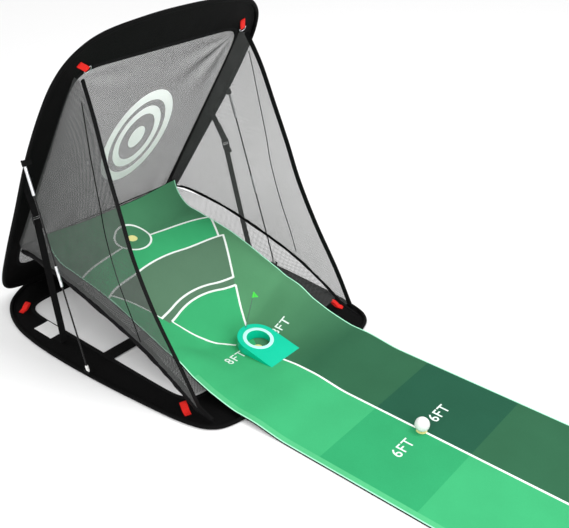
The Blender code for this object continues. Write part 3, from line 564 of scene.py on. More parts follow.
LIME = cast("flag_lime_plastic", srgb(80, 225, 80), 0.45, 900, 0.06, 0.05)
WIRE = cast("pole_wire", (0.13, 0.2, 0.17, 1), 0.4, 1500, 0.1, 0.05, Metallic=0.4)
SPRING = cast("hoop_spring_steel", (0.3, 0.32, 0.35, 1), 0.34, 1400, 0.2, 0.05, Metallic=1.0)
RUBBER = cast("mat_backing_rubber", (0.004, 0.0042, 0.004, 1), 0.75, 700, 0.25, 0.3,
              Specular_IOR_Level=0.15)
THREAD = cast("sewing_thread", (0.02, 0.02, 0.021, 1), 0.6, 2500, 0.2, 0.2, Specular_IOR_Level=0.2)
NETTING = cast("net_thread", (0.105, 0.107, 0.106, 1), 0.7, 1800, 0.25, 0.2, Specular_IOR_Level=0.15)
CORD = cast("cord_braid", (0.004, 0.004, 0.0043, 1), 0.7, 1500, 0.3, 0.4, Specular_IOR_Level=0.12)
SATIN = Finish("label_satin", (0.9, 0.9, 0.89, 1), 0.42)
label_x, label_y, _ = SATIN.axes()
SATIN.bump(label_x.wave(0.0006) * label_y.wave(0.0009) + SATIN.noise(30, 3) * 2, 0.35, 0.0006)
SATIN.paint(SATIN.blend(SATIN.noise(60, 2), (0.86, 0.86, 0.85, 1), (0.96, 0.96, 0.95, 1)))
PRINT_WHITE = woven("white_print", (0.92, 0.92, 0.92, 1), 0.0014, 0.1, 0.1)
FLOOR = Finish("studio_floor", (0.93, 0.93, 0.93, 1), 0.9)
FLOOR.paint(FLOOR.blend(FLOOR.noise(0.6, 2), (0.925, 0.925, 0.925, 1), (0.94, 0.94, 0.94, 1)))
print(len(bpy.data.materials), "materials so far")

# %% The studio floor
bpy.ops.mesh.primitive_plane_add(size=40, location=(0, 0, -0.0005))
studio_floor = bpy.context.object
studio_floor.name = "studio_floor"
studio_floor.data.materials.append(FLOOR.material)
print("floor at", studio_floor.location.z)

# %% [markdown]
# ## The mat
# The mat is one long sheet: a printed top on a black rubber backing. It lies flat, rides
# over the front of the floor ring, then climbs a sling with its edges standing up like a
# trough. Its shape follows a rule, so it is built as a grid from that rule, row by row,
# and the print is drawn on a UV map in metres, so that the marks follow the cloth.

# %% The shape of the mat
TROUGH_START = 0.095
HUMP_RISE, HUMP_FALL = (-0.15, -0.012), (0.032, 0.15)


def front_hump(y):
    top = 2 * HEM_RADIUS + 2 * GAP
    rise = smoothstep(*HUMP_RISE, y - FLOOR_FRONT_Y)
    fall = smoothstep(*HUMP_FALL, y - FLOOR_FRONT_Y)
    return top * rise + (MAT_ON_SLING - top) * fall


def middle_height(y):
    front = HINGE.y - y
    return front_hump(y) if front >= CLIMB[-1][0] else look_up(CLIMB, front)


def edge_height(x, y):
    """How far the trough's side stands above its middle."""
    return look_up(EDGE_LIFT, HINGE.y - y) * smoothstep(TROUGH_START, MAT_WIDTH / 2, abs(x))


def mat_line():
    start = TEE_Y - MAT_TEE_MARGIN
    end = HINGE.y - CLIMB[0][0]
    count = 330
    rows = []
    for k in range(count + 1):
        y = start + (end - start) * k / count
        rows.append((y, middle_height(y)))
    (y0, z0), (y1, z1) = rows[-2:]
    first_angle = math.atan2(z1 - z0, y1 - y0)
    for k in range(1, 21):
        angle = first_angle + (CURL_END - first_angle) * k / 20
        rows.append((y1 + CURL_RADIUS * (math.sin(angle) - math.sin(first_angle)),
                     z1 + CURL_RADIUS * (math.cos(first_angle) - math.cos(angle))))
    return rows


line = mat_line()
MAT_CELLS = 44
columns = [MAT_WIDTH * (c / MAT_CELLS - 0.5) for c in range(MAT_CELLS + 1)]
under = np.array([[(x, y, z + edge_height(x, y)) for x in columns] for y, z in line])
along = np.gradient(under, axis=0)
across = np.gradient(under, axis=1)
normal = np.cross(across, along)
normal /= np.linalg.norm(normal, axis=2, keepdims=True)
top = under + normal * MAT_THICKNESS
middle_column = len(columns) // 2
steps = np.linalg.norm(np.diff(under[:, middle_column], axis=0), axis=1)
run = np.concatenate([[0.0], np.cumsum(steps)]) - MAT_TEE_MARGIN


def on_mat(u, v, lift=0.0):
    """The point of the mat's top at u across and v along from the zero mark."""
    row = np.interp(v, run, np.arange(len(run)))
    column = (u / MAT_WIDTH + 0.5) * (len(columns) - 1)
    r, c = min(int(row), len(run) - 2), min(max(int(column), 0), len(columns) - 2)
    fr, fc = row - r, column - c
    grid = top + normal * lift
    point = (grid[r, c] * (1 - fr) + grid[r + 1, c] * fr) * (1 - fc)
    point = point + (grid[r, c + 1] * (1 - fr) + grid[r + 1, c + 1] * fr) * fc
    return Vector(point)


# %% [markdown]
# ## The mat's print
# Every mark is a test on two numbers: how far across (u) and how far along (v). Blocks,
# the middle line, the dots and the fan round the eight-foot mark are painted in layers,
# each one covering what is below it, as the inks do on the real cloth.

# %% The mat's print
MARK_8 = 8 * FOOT
DISC_V = 3.056
LINE, DOT, EDGE_STRIP = 0.0036, 0.0155, 0.004
FAN_RADII = (0.290, 0.485, 0.600)
BLOCKS_END, BLOCKS_OUT = 7 * FOOT, -0.265
WHITE_INK = srgb(244, 252, 246)
YELLOW_INK = srgb(240, 236, 160)
NEAR_GREEN, NEAR_DARK = srgb(62, 174, 114), srgb(49, 161, 104)
FAR_GREEN, FAR_DARK = srgb(47, 98, 69), srgb(34, 86, 64)
STRIP_GREEN, EDGE_MINT = srgb(84, 188, 128), srgb(170, 240, 205)
BAND_OLIVE, BEYOND, FAR_END = srgb(92, 128, 102), srgb(76, 138, 100), srgb(88, 148, 106)

MAT = Finish("mat_print", NEAR_GREEN, 0.85, Specular_IOR_Level=0.12)
u, v, _ = MAT.axes("UV")
ahead = v - MARK_8
reach = (u * u + ahead * ahead).do("SQRT")
turn = u.do("ARCTAN2", ahead)


def between(signal, low, high):
    return (signal > low).both(signal < high)


def sector(low, high, left, right):
    return between(reach, low, high).both(between(turn, math.radians(left), math.radians(right)))


def ray(angle, low, high):
    angle = math.radians(angle)
    off_line = (u * math.cos(angle) - ahead * math.sin(angle)).size()
    return (off_line < LINE).both(between(reach, low, high)).both(ahead > 0)


def spot(where, radius):
    from_spot = v - where
    return (u * u + from_spot * from_spot).do("SQRT") < radius


near = u < 0
block = ((v * (0.5 / FOOT) + 0.25).do("FRACT") < 0.5).both(v < BLOCKS_END).both(u > BLOCKS_OUT)
ink = MAT.blend(near, MAT.blend((v - 2.25) * 3.0, FAR_GREEN, FAR_END), NEAR_GREEN)
ink = MAT.blend(block, ink, MAT.blend(near, FAR_DARK, NEAR_DARK))
ink = MAT.blend((u < BLOCKS_OUT).both(v < MARK_8), ink, STRIP_GREEN)
ink = MAT.blend((reach > FAN_RADII[2]).both(ahead > 0), ink, BEYOND)
ink = MAT.blend(sector(FAN_RADII[1], FAN_RADII[2], -70, 29), ink, NEAR_GREEN)
ink = MAT.blend(sector(FAN_RADII[0], FAN_RADII[1], -34, 31), ink, BAND_OLIVE)
ink = MAT.blend(sector(0.0, FAN_RADII[0], -30.5, 31.5), ink, NEAR_GREEN)
lines = (u.size() < LINE).both(v < MARK_8)
for low_arc, left, right in ((0.290, -30.5, 31.5), (0.318, -34, 31), (0.485, -70, 31), (0.600, -70, 29)):
    lines = lines.either(sector(low_arc - LINE, low_arc + LINE, left, right))
for angle, low, high in ((-30.5, 0.07, 0.290), (31.5, 0.07, 0.290), (-34, 0.315, 0.485),
                         (31, 0.315, 0.488), (29, 0.485, 0.603)):
    lines = lines.either(ray(angle, low, high))
ink = MAT.blend(lines.either(spot(DISC_V, 0.067)), ink, WHITE_INK)
ink = MAT.blend(spot(DISC_V, 0.060), ink, BEYOND)
dots = spot(DISC_V, 0.017)
for mark in (2, 4, 6, 8):
    dots = dots.either(spot(mark * FOOT, DOT))
ink = MAT.blend(dots, ink, YELLOW_INK)
ink = MAT.blend(u.size() > MAT_WIDTH / 2 - EDGE_STRIP, ink, EDGE_MINT)
pile = MAT.noise(650, 2)
handled = MAT.noise(7, 4)
speckle = MAT.blend(pile * 0.55 + handled * 0.45, (0.72, 0.74, 0.72, 1), (1.25, 1.22, 1.25, 1))
mixer = MAT.tree.nodes.new("ShaderNodeMix")
mixer.data_type = "RGBA"
mixer.blend_type = "MULTIPLY"
mixer.inputs[0].default_value = 1.0
MAT.tree.links.new(ink, mixer.inputs[6])
MAT.tree.links.new(speckle, mixer.inputs[7])
MAT.paint(mixer.outputs[2])
MAT.bump(pile + (u.wave(0.0024) * v.wave(0.0024)) * 0.6, 0.45, 0.0008)
print(len(MAT.tree.nodes), "nodes draw the print")

# %% The mat's mesh
rows, wide = len(line), len(columns)
points = [tuple(p) for p in under.reshape(-1, 3)] + [tuple(p) for p in top.reshape(-1, 3)]
faces = []
for r in range(rows - 1):
    for c in range(wide - 1):
        a = r * wide + c
        face = (a, a + 1, a + wide + 1, a + wide)
        faces += [face[::-1], tuple(rows * wide + i for i in face)]
rim = list(range(wide)) + [r * wide + wide - 1 for r in range(1, rows)]
rim += [(rows - 1) * wide + c for c in reversed(range(wide - 1))]
rim += [r * wide for r in reversed(range(1, rows - 1))]
for a, b in zip(rim, rim[1:] + rim[:1]):
    faces.append((a, b, rows * wide + b, rows * wide + a))
mat = piece("printed_mat", points, faces, MAT, RUBBER)
layer = mat.data.uv_layers.new(name="UVMap")
for polygon in mat.data.polygons:
    polygon.material_index = 0 if min(polygon.vertices) >= rows * wide else 1
for loop in mat.data.loops:
    r, c = divmod(loop.vertex_index % (rows * wide), wide)
    layer.data[loop.index].uv = (columns[c], run[r])
print("mat has", len(mat.data.polygons), "faces")

# %% [markdown]
# ## The distance numerals
# They are plain bold figures, printed on both sides of the middle line. Text is a curve
# at first, so it is made a mesh, and then each point is laid on the mat.

# %% The distance numerals
NUMERAL_HEIGHT, NUMERAL_OFFSET = 0.047, 0.094
INK = woven("numeral_ink", srgb(225, 240, 232), 0.0024, 0.1, 0.05)


def numeral(text, u_middle, v_middle):
    data = bpy.data.curves.new("numeral", "FONT")
    data.body = text
    data.size = NUMERAL_HEIGHT
    data.offset = 0.0003
    data.space_character = 1.12
    data.align_x = "CENTER"
    data.align_y = "CENTER"
    data.extrude = 0.0001
    data.resolution_u = 4
    written = bpy.data.objects.new("numeral", data)
    scene.collection.objects.link(written)
    bpy.context.view_layer.update()
    graph = bpy.context.evaluated_depsgraph_get()
    mesh = bpy.data.meshes.new_from_object(written.evaluated_get(graph))
    bpy.data.objects.remove(written)
    found = [on_mat(u_middle + p.co.x, v_middle + p.co.y, 0.0003 + p.co.z) for p in mesh.vertices]
    faces = [tuple(polygon.vertices) for polygon in mesh.polygons]
    return found, faces


points, faces = [], []
for feet in (2, 4, 6, 8):
    past, left, right = (0.014, -0.088, 0.13) if feet == 8 else (0.0, -NUMERAL_OFFSET, NUMERAL_OFFSET)
    for across_by in (left, right):
        more, more_faces = numeral(f"{feet}FT", across_by, feet * FOOT + past)
        faces += [tuple(len(points) + i for i in face) for face in more_faces]
        points += more
numerals = piece("distance_numerals", points, faces, INK, smooth=False, merge=True)
print("numerals have", len(numerals.data.polygons), "faces")

# %% [markdown]
# ## The two hooped bands
# Each band is a flat ring of polyester, folded round a sprung steel hoop and sewn down.
# A section across the band is swept round the ring's outline, so the hem stays round and
# the cloth stays flat. Slow waves across the cloth stand for its puckers, and a narrow
# binding finishes the edge of the window.

# %% The two hooped bands
def mirrored(shape):
    return shape + [(-x, y) for x, y in reversed(shape[1:-1])]


def ring_outline(shape, half_width, start, length, per_span=8):
    points = [(x * half_width, start + y * length) for x, y in mirrored(shape)]
    return [Vector((p.x, max(p.y, start))) for p in smooth_closed(points, per_span)]


def window_of(outline, half, length, window_half, low, high, squareness=12):
    found = []
    for p in outline:
        a, b = p.x / half, (p.y - length / 2) / (length / 2)
        size = (abs(a) ** squareness + abs(b) ** squareness) ** (-1 / squareness)
        found.append(Vector((a * size * window_half, (low + high) / 2 + b * size * (high - low) / 2)))
    return found


PANEL_FOOT = 2 * HEM_RADIUS + GAP
FLOOR_BORDER, PANEL_BORDER, BINDING_WIDTH = 0.115, 0.09, 0.014
FLOOR_WINDOW = (0.12, FLOOR_LENGTH - 0.18)
PANEL_WINDOW = (0.15, PANEL_LENGTH - 0.15)
FLOOR_MIDDLE = Vector((0, sum(FLOOR_WINDOW) / 2))
PANEL_MIDDLE = Vector((0, sum(PANEL_WINDOW) / 2))
floor_line = ring_outline(FLOOR_SHAPE, FLOOR_WIDTH / 2 - HEM_RADIUS, 0, FLOOR_LENGTH)
floor_window = window_of(floor_line, FLOOR_WIDTH / 2, FLOOR_LENGTH, FLOOR_WIDTH / 2 - FLOOR_BORDER,
                         *FLOOR_WINDOW)
panel_line = ring_outline(PANEL_SHAPE, PANEL_WIDTH / 2 - HEM_RADIUS, PANEL_FOOT,
                          PANEL_LENGTH - PANEL_FOOT)
panel_window = window_of(panel_line, PANEL_WIDTH / 2, PANEL_LENGTH, PANEL_WIDTH / 2 - PANEL_BORDER,
                         *PANEL_WINDOW)


def pucker(i, t, size):
    """Cloth height off the flat at section i, a share t of the way from window to hem."""
    wave = math.sin(i * 0.41) + 0.6 * math.sin(i * 0.93 + 1.3) + 0.5 * math.sin(i * 1.71 + 0.4)
    return size * (0.5 + 0.25 * wave) * math.sin(math.pi * t) ** 1.2


def hooped_band(name, outline, window, place, size):
    sections = []
    count = len(outline)
    for i, centre in enumerate(outline):
        way = outline[(i + 1) % count] - outline[i - 1]
        out = Vector((way.y, -way.x)).normalized()
        section = []
        for k in range(8):
            t = k / 8
            p = window[i].lerp(centre, t)
            section.append(place(p.x, p.y, pucker(i, t, size)))
        for k in range(15):
            angle = math.radians(-90 + 304 * k / 14)
            p = centre + out * (HEM_RADIUS * math.cos(angle))
            section.append(place(p.x, p.y, HEM_RADIUS * (1 + math.sin(angle))))
        inner = centre - out * (HEM_RADIUS * 1.25)
        for k in range(8, -1, -1):
            t = k / 8
            p = window[i].lerp(inner, t)
            section.append(place(p.x, p.y, FABRIC + pucker(i, t, size)))
        sections.append(section)
    points = [p for section in sections for p in section]
    return piece(name, points, skin(count, len(sections[0]), ring=True), BAND)


def binding(name, window, centre, place):
    """A folded tape over the cut edge of the window."""
    points = []
    section = rounded(BINDING_WIDTH, FABRIC + 0.0016, 0.0011, 2)
    for p in window:
        out = (p - centre).normalized()
        for across_it, up in section:
            q = p + out * (0.005 + across_it)
            points.append(place(q.x, q.y, max(FABRIC / 2 + up, 0.0001)))
    return piece(name, points, skin(len(window), len(section), ring=True), HEM)


floor_band = hooped_band("floor_ring_band", floor_line, floor_window, on_floor, 0.0012)
panel_band = hooped_band("panel_ring_band", panel_line, panel_window, on_panel, 0.0016)
floor_binding = binding("floor_window_binding", floor_window, FLOOR_MIDDLE, on_floor)
panel_binding = binding("panel_window_binding", panel_window, PANEL_MIDDLE, on_panel)
print("bands have", len(floor_band.data.polygons), "and", len(panel_band.data.polygons), "faces")

# %% [markdown]
# ## Net threads with Geometry Nodes
# A net is a cloth of holes, so it is made of its threads. For each net, straight threads
# in two crossing directions are cut to the net's own outline and laid on its surface.
# A node tree then gives every thread its thickness: Mesh to Curve, Curve to Mesh with a
# small round profile, Realize Instances, Set Material. One tree serves all four nets.

# %% The thread tree
def new_tree(name, numbers):
    tree = bpy.data.node_groups.new(name, "GeometryNodeTree")
    tree.interface.new_socket("Geometry", in_out="INPUT", socket_type="NodeSocketGeometry")
    for label, kind, value in numbers:
        made = tree.interface.new_socket(label, in_out="INPUT", socket_type=kind)
        if value is not None:
            made.default_value = value
    tree.interface.new_socket("Geometry", in_out="OUTPUT", socket_type="NodeSocketGeometry")
    return tree, tree.nodes.new("NodeGroupInput"), tree.nodes.new("NodeGroupOutput")


def chain(tree, *links):
    for source, target in links:
        tree.links.new(source, target)


def thread_tree():
    tree, given, result = new_tree("net_threads", [
        ("Thread Radius", "NodeSocketFloat", 0.0008),
        ("Thread Sides", "NodeSocketInt", 3),
        ("Thread Material", "NodeSocketMaterial", None),
    ])
    curve = tree.nodes.new("GeometryNodeMeshToCurve")
    profile = tree.nodes.new("GeometryNodeCurvePrimitiveCircle")
    sweep = tree.nodes.new("GeometryNodeCurveToMesh")
    sweep.inputs["Fill Caps"].default_value = True
    real = tree.nodes.new("GeometryNodeRealizeInstances")
    paint = tree.nodes.new("GeometryNodeSetMaterial")
    chain(tree, (given.outputs["Geometry"], curve.inputs[0]),
          (given.outputs["Thread Radius"], profile.inputs["Radius"]),
          (given.outputs["Thread Sides"], profile.inputs["Resolution"]),
          (curve.outputs[0], sweep.inputs["Curve"]),
          (profile.outputs[0], sweep.inputs["Profile Curve"]),
          (sweep.outputs[0], real.inputs[0]), (real.outputs[0], paint.inputs["Geometry"]),
          (given.outputs["Thread Material"], paint.inputs["Material"]),
          (paint.outputs[0], result.inputs[0]))
    return tree


def grow(name, points, edges, tree, **values):
    """Runs a node tree on a wire mesh and keeps the result as one plain mesh."""
    mesh = bpy.data.meshes.new(name)
    mesh.from_pydata([tuple(p) for p in points], edges, [])
    wires = bpy.data.objects.new(name, mesh)
    scene.collection.objects.link(wires)
    modifier = wires.modifiers.new(name, "NODES")
    modifier.node_group = tree
    for item in tree.interface.items_tree:
        key = item.name.replace(" ", "_").lower()
        if item.in_out == "INPUT" and key in values:
            modifier[item.identifier] = values[key]
    bpy.context.view_layer.update()
    result = wires.evaluated_get(bpy.context.evaluated_depsgraph_get())
    made = bpy.data.meshes.new_from_object(result)
    bpy.data.objects.remove(wires)
    made.name = name
    made.shade_smooth()
    grown = bpy.data.objects.new(name, made)
    scene.collection.objects.link(grown)
    return grown


THREADS = thread_tree()
print("node tree", THREADS.name, "has", len(THREADS.nodes), "nodes")

# %% Threads laid on a surface
def crossings(outline, origin, way):
    """Where the line from origin along way crosses a closed outline, as sorted distances."""
    side = (-way[1], way[0])
    found = []
    for (ax, ay), (bx, by) in zip(outline, outline[1:] + outline[:1]):
        a = (ax - origin[0]) * side[0] + (ay - origin[1]) * side[1]
        b = (bx - origin[0]) * side[0] + (by - origin[1]) * side[1]
        if (a > 0) != (b > 0):
            t = a / (a - b)
            x, y = ax + (bx - ax) * t, ay + (by - ay) * t
            found.append((x - origin[0]) * way[0] + (y - origin[1]) * way[1])
    return sorted(found)


def net(name, outline, surface, spacing, angles=(45, 135), radius=0.00076, step=0.017):
    """Threads of one net. surface(a, b) is the point of the net over a point of its outline."""
    outline = [tuple(p) for p in outline]
    centre = [sum(p[k] for p in outline) / len(outline) for k in (0, 1)]
    span = max(math.dist(p, centre) for p in outline)
    points, edges = [], []
    for number, angle in enumerate(angles):
        way = (math.cos(math.radians(angle)), math.sin(math.radians(angle)))
        side = (-way[1], way[0])
        over = 0.0003 if number else -0.0003
        for k in range(-int(span / spacing), int(span / spacing) + 1):
            origin = [centre[i] + side[i] * k * spacing for i in (0, 1)]
            marks = crossings(outline, origin, way)
            for low, high in zip(marks[::2], marks[1::2]):
                pieces = max(int((high - low) / step), 1)
                for m in range(pieces + 1):
                    reach = low + (high - low) * m / pieces
                    spot_on = [origin[i] + way[i] * reach for i in (0, 1)]
                    points.append(Vector(surface(*spot_on)) + Vector((over, 0, over)))
                    if m:
                        edges.append((len(points) - 2, len(points) - 1))
    return grow(name, points, edges, THREADS, thread_radius=radius, thread_sides=3,
                thread_material=NETTING.material)


def area_of(outline):
    return abs(sum(a[0] * b[1] - b[0] * a[1]
                   for a, b in zip(outline, outline[1:] + outline[:1]))) / 2


# %% [markdown]
# ## The back net and its target
# The back net fills the panel's window. It bellies back a little and is drawn tight
# towards its corners, which shows as faint ridges. The target is three oval pieces
# printed on it, so they take the net's own surface.

# %% The back net and its target
NET_SPACING, SLING_SPACING = 0.0041, 0.0044
TARGET_X, TARGET_UP, TARGET_SQUEEZE = 0.04, 0.66, 0.62
TARGET_RINGS = {"target_outer_ring": (0.212, 0.170), "target_inner_ring": (0.142, 0.107)}
CORNERS = ((-0.30, 1.03), (0.30, 1.03), (-0.30, 0.18), (0.30, 0.18))


def back_net_point(x, up, off=0.0):
    a = x / (PANEL_WIDTH / 2 - PANEL_BORDER)
    b = (up - PANEL_MIDDLE.y) / (PANEL_MIDDLE.y - PANEL_WINDOW[0])
    belly = -0.007 * max(1 - a * a, 0) * max(1 - b * b, 0)
    ridge = 0.0
    for corner_x, corner_up in CORNERS:
        dx, dy = x - corner_x, up - corner_up
        away = math.hypot(dx, dy)
        ridge += 0.0022 * math.sin(9 * math.atan2(dy, dx)) * math.exp(-((away - 0.12) / 0.10) ** 2)
    fade = max(1 - a**8, 0) * max(1 - b**8, 0)
    return panel_face(x, up, -NET / 2 + belly + ridge * fade + off)


back_outline = [(p.x * 1.008, PANEL_MIDDLE.y + (p.y - PANEL_MIDDLE.y) * 1.006)
                for p in panel_window]
back_net = net("back_net_threads", back_outline, back_net_point, NET_SPACING)
print("back net has", len(back_net.data.polygons), "faces")


def target_piece(name, outer, inner=0.0, sides=96):
    points, faces = [], []
    rings = [outer, outer, (outer + inner) / 2, inner, inner, (outer + inner) / 2]
    heights = [0.0012, 0.0022, 0.0025, 0.0022, 0.0012, 0.0012]
    if not inner:
        rings, heights = [outer, outer, outer * 0.6, outer * 0.2], [0.0012, 0.0022, 0.0025, 0.0025]
    for k in range(sides):
        turn = 2 * math.pi * k / sides
        for radius, height in zip(rings, heights):
            x = TARGET_X + TARGET_SQUEEZE * radius * math.cos(turn)
            points.append(back_net_point(x, TARGET_UP + radius * math.sin(turn), height + 0.0012))
    rows = len(rings)
    for k in range(sides):
        a, b = k * rows, (k + 1) % sides * rows
        for j in range(rows if inner else rows - 1):
            m = (j + 1) % rows
            faces.append((a + j, b + j, b + m, a + m))
    if not inner:
        faces.append(tuple(k * rows for k in range(sides)))
        faces.append(tuple(k * rows + rows - 1 for k in range(sides)))
    return piece(name, points, faces, PRINT_WHITE)


targets = {name: target_piece(name.replace("ring", "print"), *radii)
           for name, radii in TARGET_RINGS.items()}
targets["target_bull"] = target_piece("target_middle_print", 0.05)
print("target pieces", sorted(targets))

# %% [markdown]
# ## The side nets
# Each side net hangs between the panel's side, a webbing strap at its front and the
# rolled hem of the sling at its foot. It is nearly flat, so a smooth function fitted to
# its three borders gives its surface, with a slight ripple across it.

# %% The side nets
SLING_HEM_RADIUS = 0.007
NET_TOP_UP, NET_FOOT_UP = 1.045, 0.312


def hem_line(side, count=40):
    return smooth_open([Vector((side * x, HINGE.y - front, z)) for front, x, z in HEM_LINE], count)


def front_line(side, count=40):
    points = [Vector((side * x, HINGE.y - front, z)) for front, x, z in FRONT_EDGE]
    path = smooth_open(points, count)
    wide = []
    for i in range(count):
        way = path[min(i + 1, count - 1)] - path[max(i - 1, 0)]
        rear = Vector((1, 0, 0)).cross(way).normalized() * 0.01
        wide.append(rear if rear.y > 0 else -rear)
    return path, wide


def side_net_border(side):
    path, wide = front_line(side)
    panel_side = []
    for k in range(31):
        share = k / 30
        up = NET_TOP_UP + (NET_FOOT_UP - NET_TOP_UP) * share
        half = PANEL_WIDTH / 2 - PANEL_BORDER + 0.003 + 0.012 * share
        panel_side.append(panel_face(side * half, up, 3 * GAP + NET))
    foot = [p + Vector((0, 0, SLING_HEM_RADIUS * 0.8)) for p in hem_line(side)]
    front = [p + w * 0.9 for p, w in zip(path, wide)]
    return panel_side + foot + front[::-1]


def terms(y, z):
    return [1, y, z, y * y, y * z, z * z, y**3, y * y * z, y * z * z, z**3]


side_nets, side_flat = {}, {}
for side, label in SIDES:
    border = side_net_border(side)
    table = np.array([terms(p.y - 1, p.z) for p in border])
    fitted, *_ = np.linalg.lstsq(table, np.array([p.x for p in border]), rcond=None)
    worst = float(np.abs(table @ fitted - np.array([p.x for p in border])).max())

    def side_surface(y, z, fitted=fitted, side=side):
        x = float(np.dot(terms(y - 1, z), fitted))
        slack = math.sin(y * 19 + z * 7) * math.sin(z * 13 - y * 5)
        return Vector((x + side * 0.0012 * slack, y, z))

    outline = [(p.y, p.z) for p in border]
    side_nets[label] = net(label + "_side_net_threads", outline, side_surface, NET_SPACING,
                           (20, 112))
    side_flat[label] = area_of(outline)
    print(label, "side net", round(side_flat[label], 3), "m2, fit within", round(worst * 1000, 2), "mm")

# %% [markdown]
# ## The sling under the mat
# The sling is the same net, hung from the two rolled hems, from the floor band at the
# front and from an elastic cord across the back net. The mat rests on it.

# %% The sling
REAR_UP = 0.285
CLIMB_END = HINGE.y - CLIMB[0][0]
ELASTIC_RADIUS = 0.002
rear_edge = panel_face(0, REAR_UP, 2 * ELASTIC_RADIUS + 2 * GAP + NET)
hem_table = {side: sorted((p.y, abs(p.x), p.z) for p in hem_line(side, 60)) for side, _ in SIDES}


def sling_half(side, y):
    return look_up(hem_table[side], y) - SLING_HEM_RADIUS


def sling_height(x, y):
    """Height of the sling, under the mat and out to its rolled hems."""
    side = -1 if x < 0 else 1
    edge = MAT_WIDTH / 2
    flat = min(abs(x), edge)
    height = middle_height(y) - GAP - NET / 2 + edge_height(flat, y)
    if abs(x) > edge:
        hem_height = look_up(hem_table[side], y, 2)
        share = min((abs(x) - edge) / (sling_half(side, y) - edge), 1)
        height += (hem_height - height) * share
    return height


def sling_surface(x, y):
    if y <= CLIMB_END:
        return Vector((x, y, sling_height(x, y)))
    share = (y - CLIMB_END) / (rear_edge.y - CLIMB_END)
    start = sling_height(x, CLIMB_END)
    return Vector((x, y, start + (rear_edge.z - start) * share))


sling_front = HINGE.y - 0.94
ys = [sling_front + (rear_edge.y - sling_front) * k / 40 for k in range(41)]
sling_outline = [(-sling_half(-1, y), y) for y in ys] + [(sling_half(1, y), y) for y in ys[::-1]]
sling = net("mat_sling_threads", sling_outline, sling_surface, SLING_SPACING)
print("sling has", len(sling.data.polygons), "faces and", round(area_of(sling_outline), 3), "m2")

# %% [markdown]
# ## Webbing, hems and cords
# The front edge of each side net is a strap of webbing that runs down to a stitched block
# on the floor band. The sling's hems are rolls of band cloth. Thin cords run down the
# side nets and across the foot of the back net.

# %% Webbing, hems and cords
parts = {}
for side, label in SIDES:
    path, wide = front_line(side, 48)
    foot = Vector((side * 0.352, HINGE.y - 1.040, 0.0145))
    for k in range(1, 7):
        path.append(path[47].lerp(foot, k / 6))
        wide.append(wide[47].lerp(Vector((0, 0.007, 0.007)), k / 6))
    parts[label + "_front_webbing"] = ribbon(label + "_front_strap", path, wide, WEBBING, STRAP)
    hem = hem_line(side, 44)
    end = Vector((side * 0.350, HINGE.y - 1.035, 0.0155))
    hem += [hem[-1].lerp(end, k / 4) for k in range(1, 5)]
    body = 0.0115 if side < 0 else 0.0048
    thick = [body * min(0.55 + i / 12, 1) * (1 + 0.09 * math.sin(i * 1.9) + 0.07 * math.sin(i * 0.7))
             for i in range(44)] + [0.75 * body, 0.65 * body, 0.55 * body, 0.5 * body]
    inward = 0.0065 if side < 0 else 0.0
    hem = [p + Vector((inward * min(i / 8, (47 - i) / 8, 1), 0, 0)) for i, p in enumerate(hem)]
    parts[label + "_sling_hem"] = tube(label + "_padded_hem", hem, thick, HEM, 14)
    border_path, border_wide = front_line(side, 12)
    seam = []
    for r, (middle, rear) in enumerate(zip(border_path, border_wide)):
        share = r / 11
        up = NET_TOP_UP + (NET_FOOT_UP - NET_TOP_UP) * share
        start = panel_face(side * (PANEL_WIDTH / 2 - 0.087 + 0.012 * share), up, 3 * GAP + NET)
        seam.append(start.lerp(middle + rear * 1.03, 0.75) + Vector((side * 0.0027, 0, 0)))
    cord_path = smooth_open(seam[1:-1], 60)
    parts[label + "_net_cord"] = tube(label + "_side_cord", cord_path, 0.0015, CORD, 8)
reach_x = PANEL_WIDTH / 2 - PANEL_BORDER + 0.006
elastic_path = [panel_face(reach_x * (k / 20 - 1), REAR_UP + 0.0015 * math.sin(k * 0.5),
                           ELASTIC_RADIUS + GAP) for k in range(41)]
parts["net_elastic"] = tube("foot_elastic", elastic_path, ELASTIC_RADIUS, CORD, 10)
CROSS_REACH, CROSS_FRONT, CROSS_HALF = 0.345, 0.558, 0.025
cross = [Vector((CROSS_REACH * (k / 12 - 1), HINGE.y - CROSS_FRONT,
                 FABRIC + GAP + WEBBING / 2 + 0.0006 * math.sin(k * 0.8) ** 2)) for k in range(25)]
parts["floor_cross_strap"] = ribbon("floor_cross_webbing", cross, Vector((0, CROSS_HALF, 0)),
                                    WEBBING, STRAP)
print("webbing and cords:", sorted(parts))

# %% [markdown]
# ## Side straps and buckles
# A strap ties each side of the panel to the floor band. A short loop is sewn to the
# panel, a ladder buckle holds it, and the tail runs down and is sewn under. The buckle is
# a rounded frame with one bar, so it is swept rather than cut from a plate.

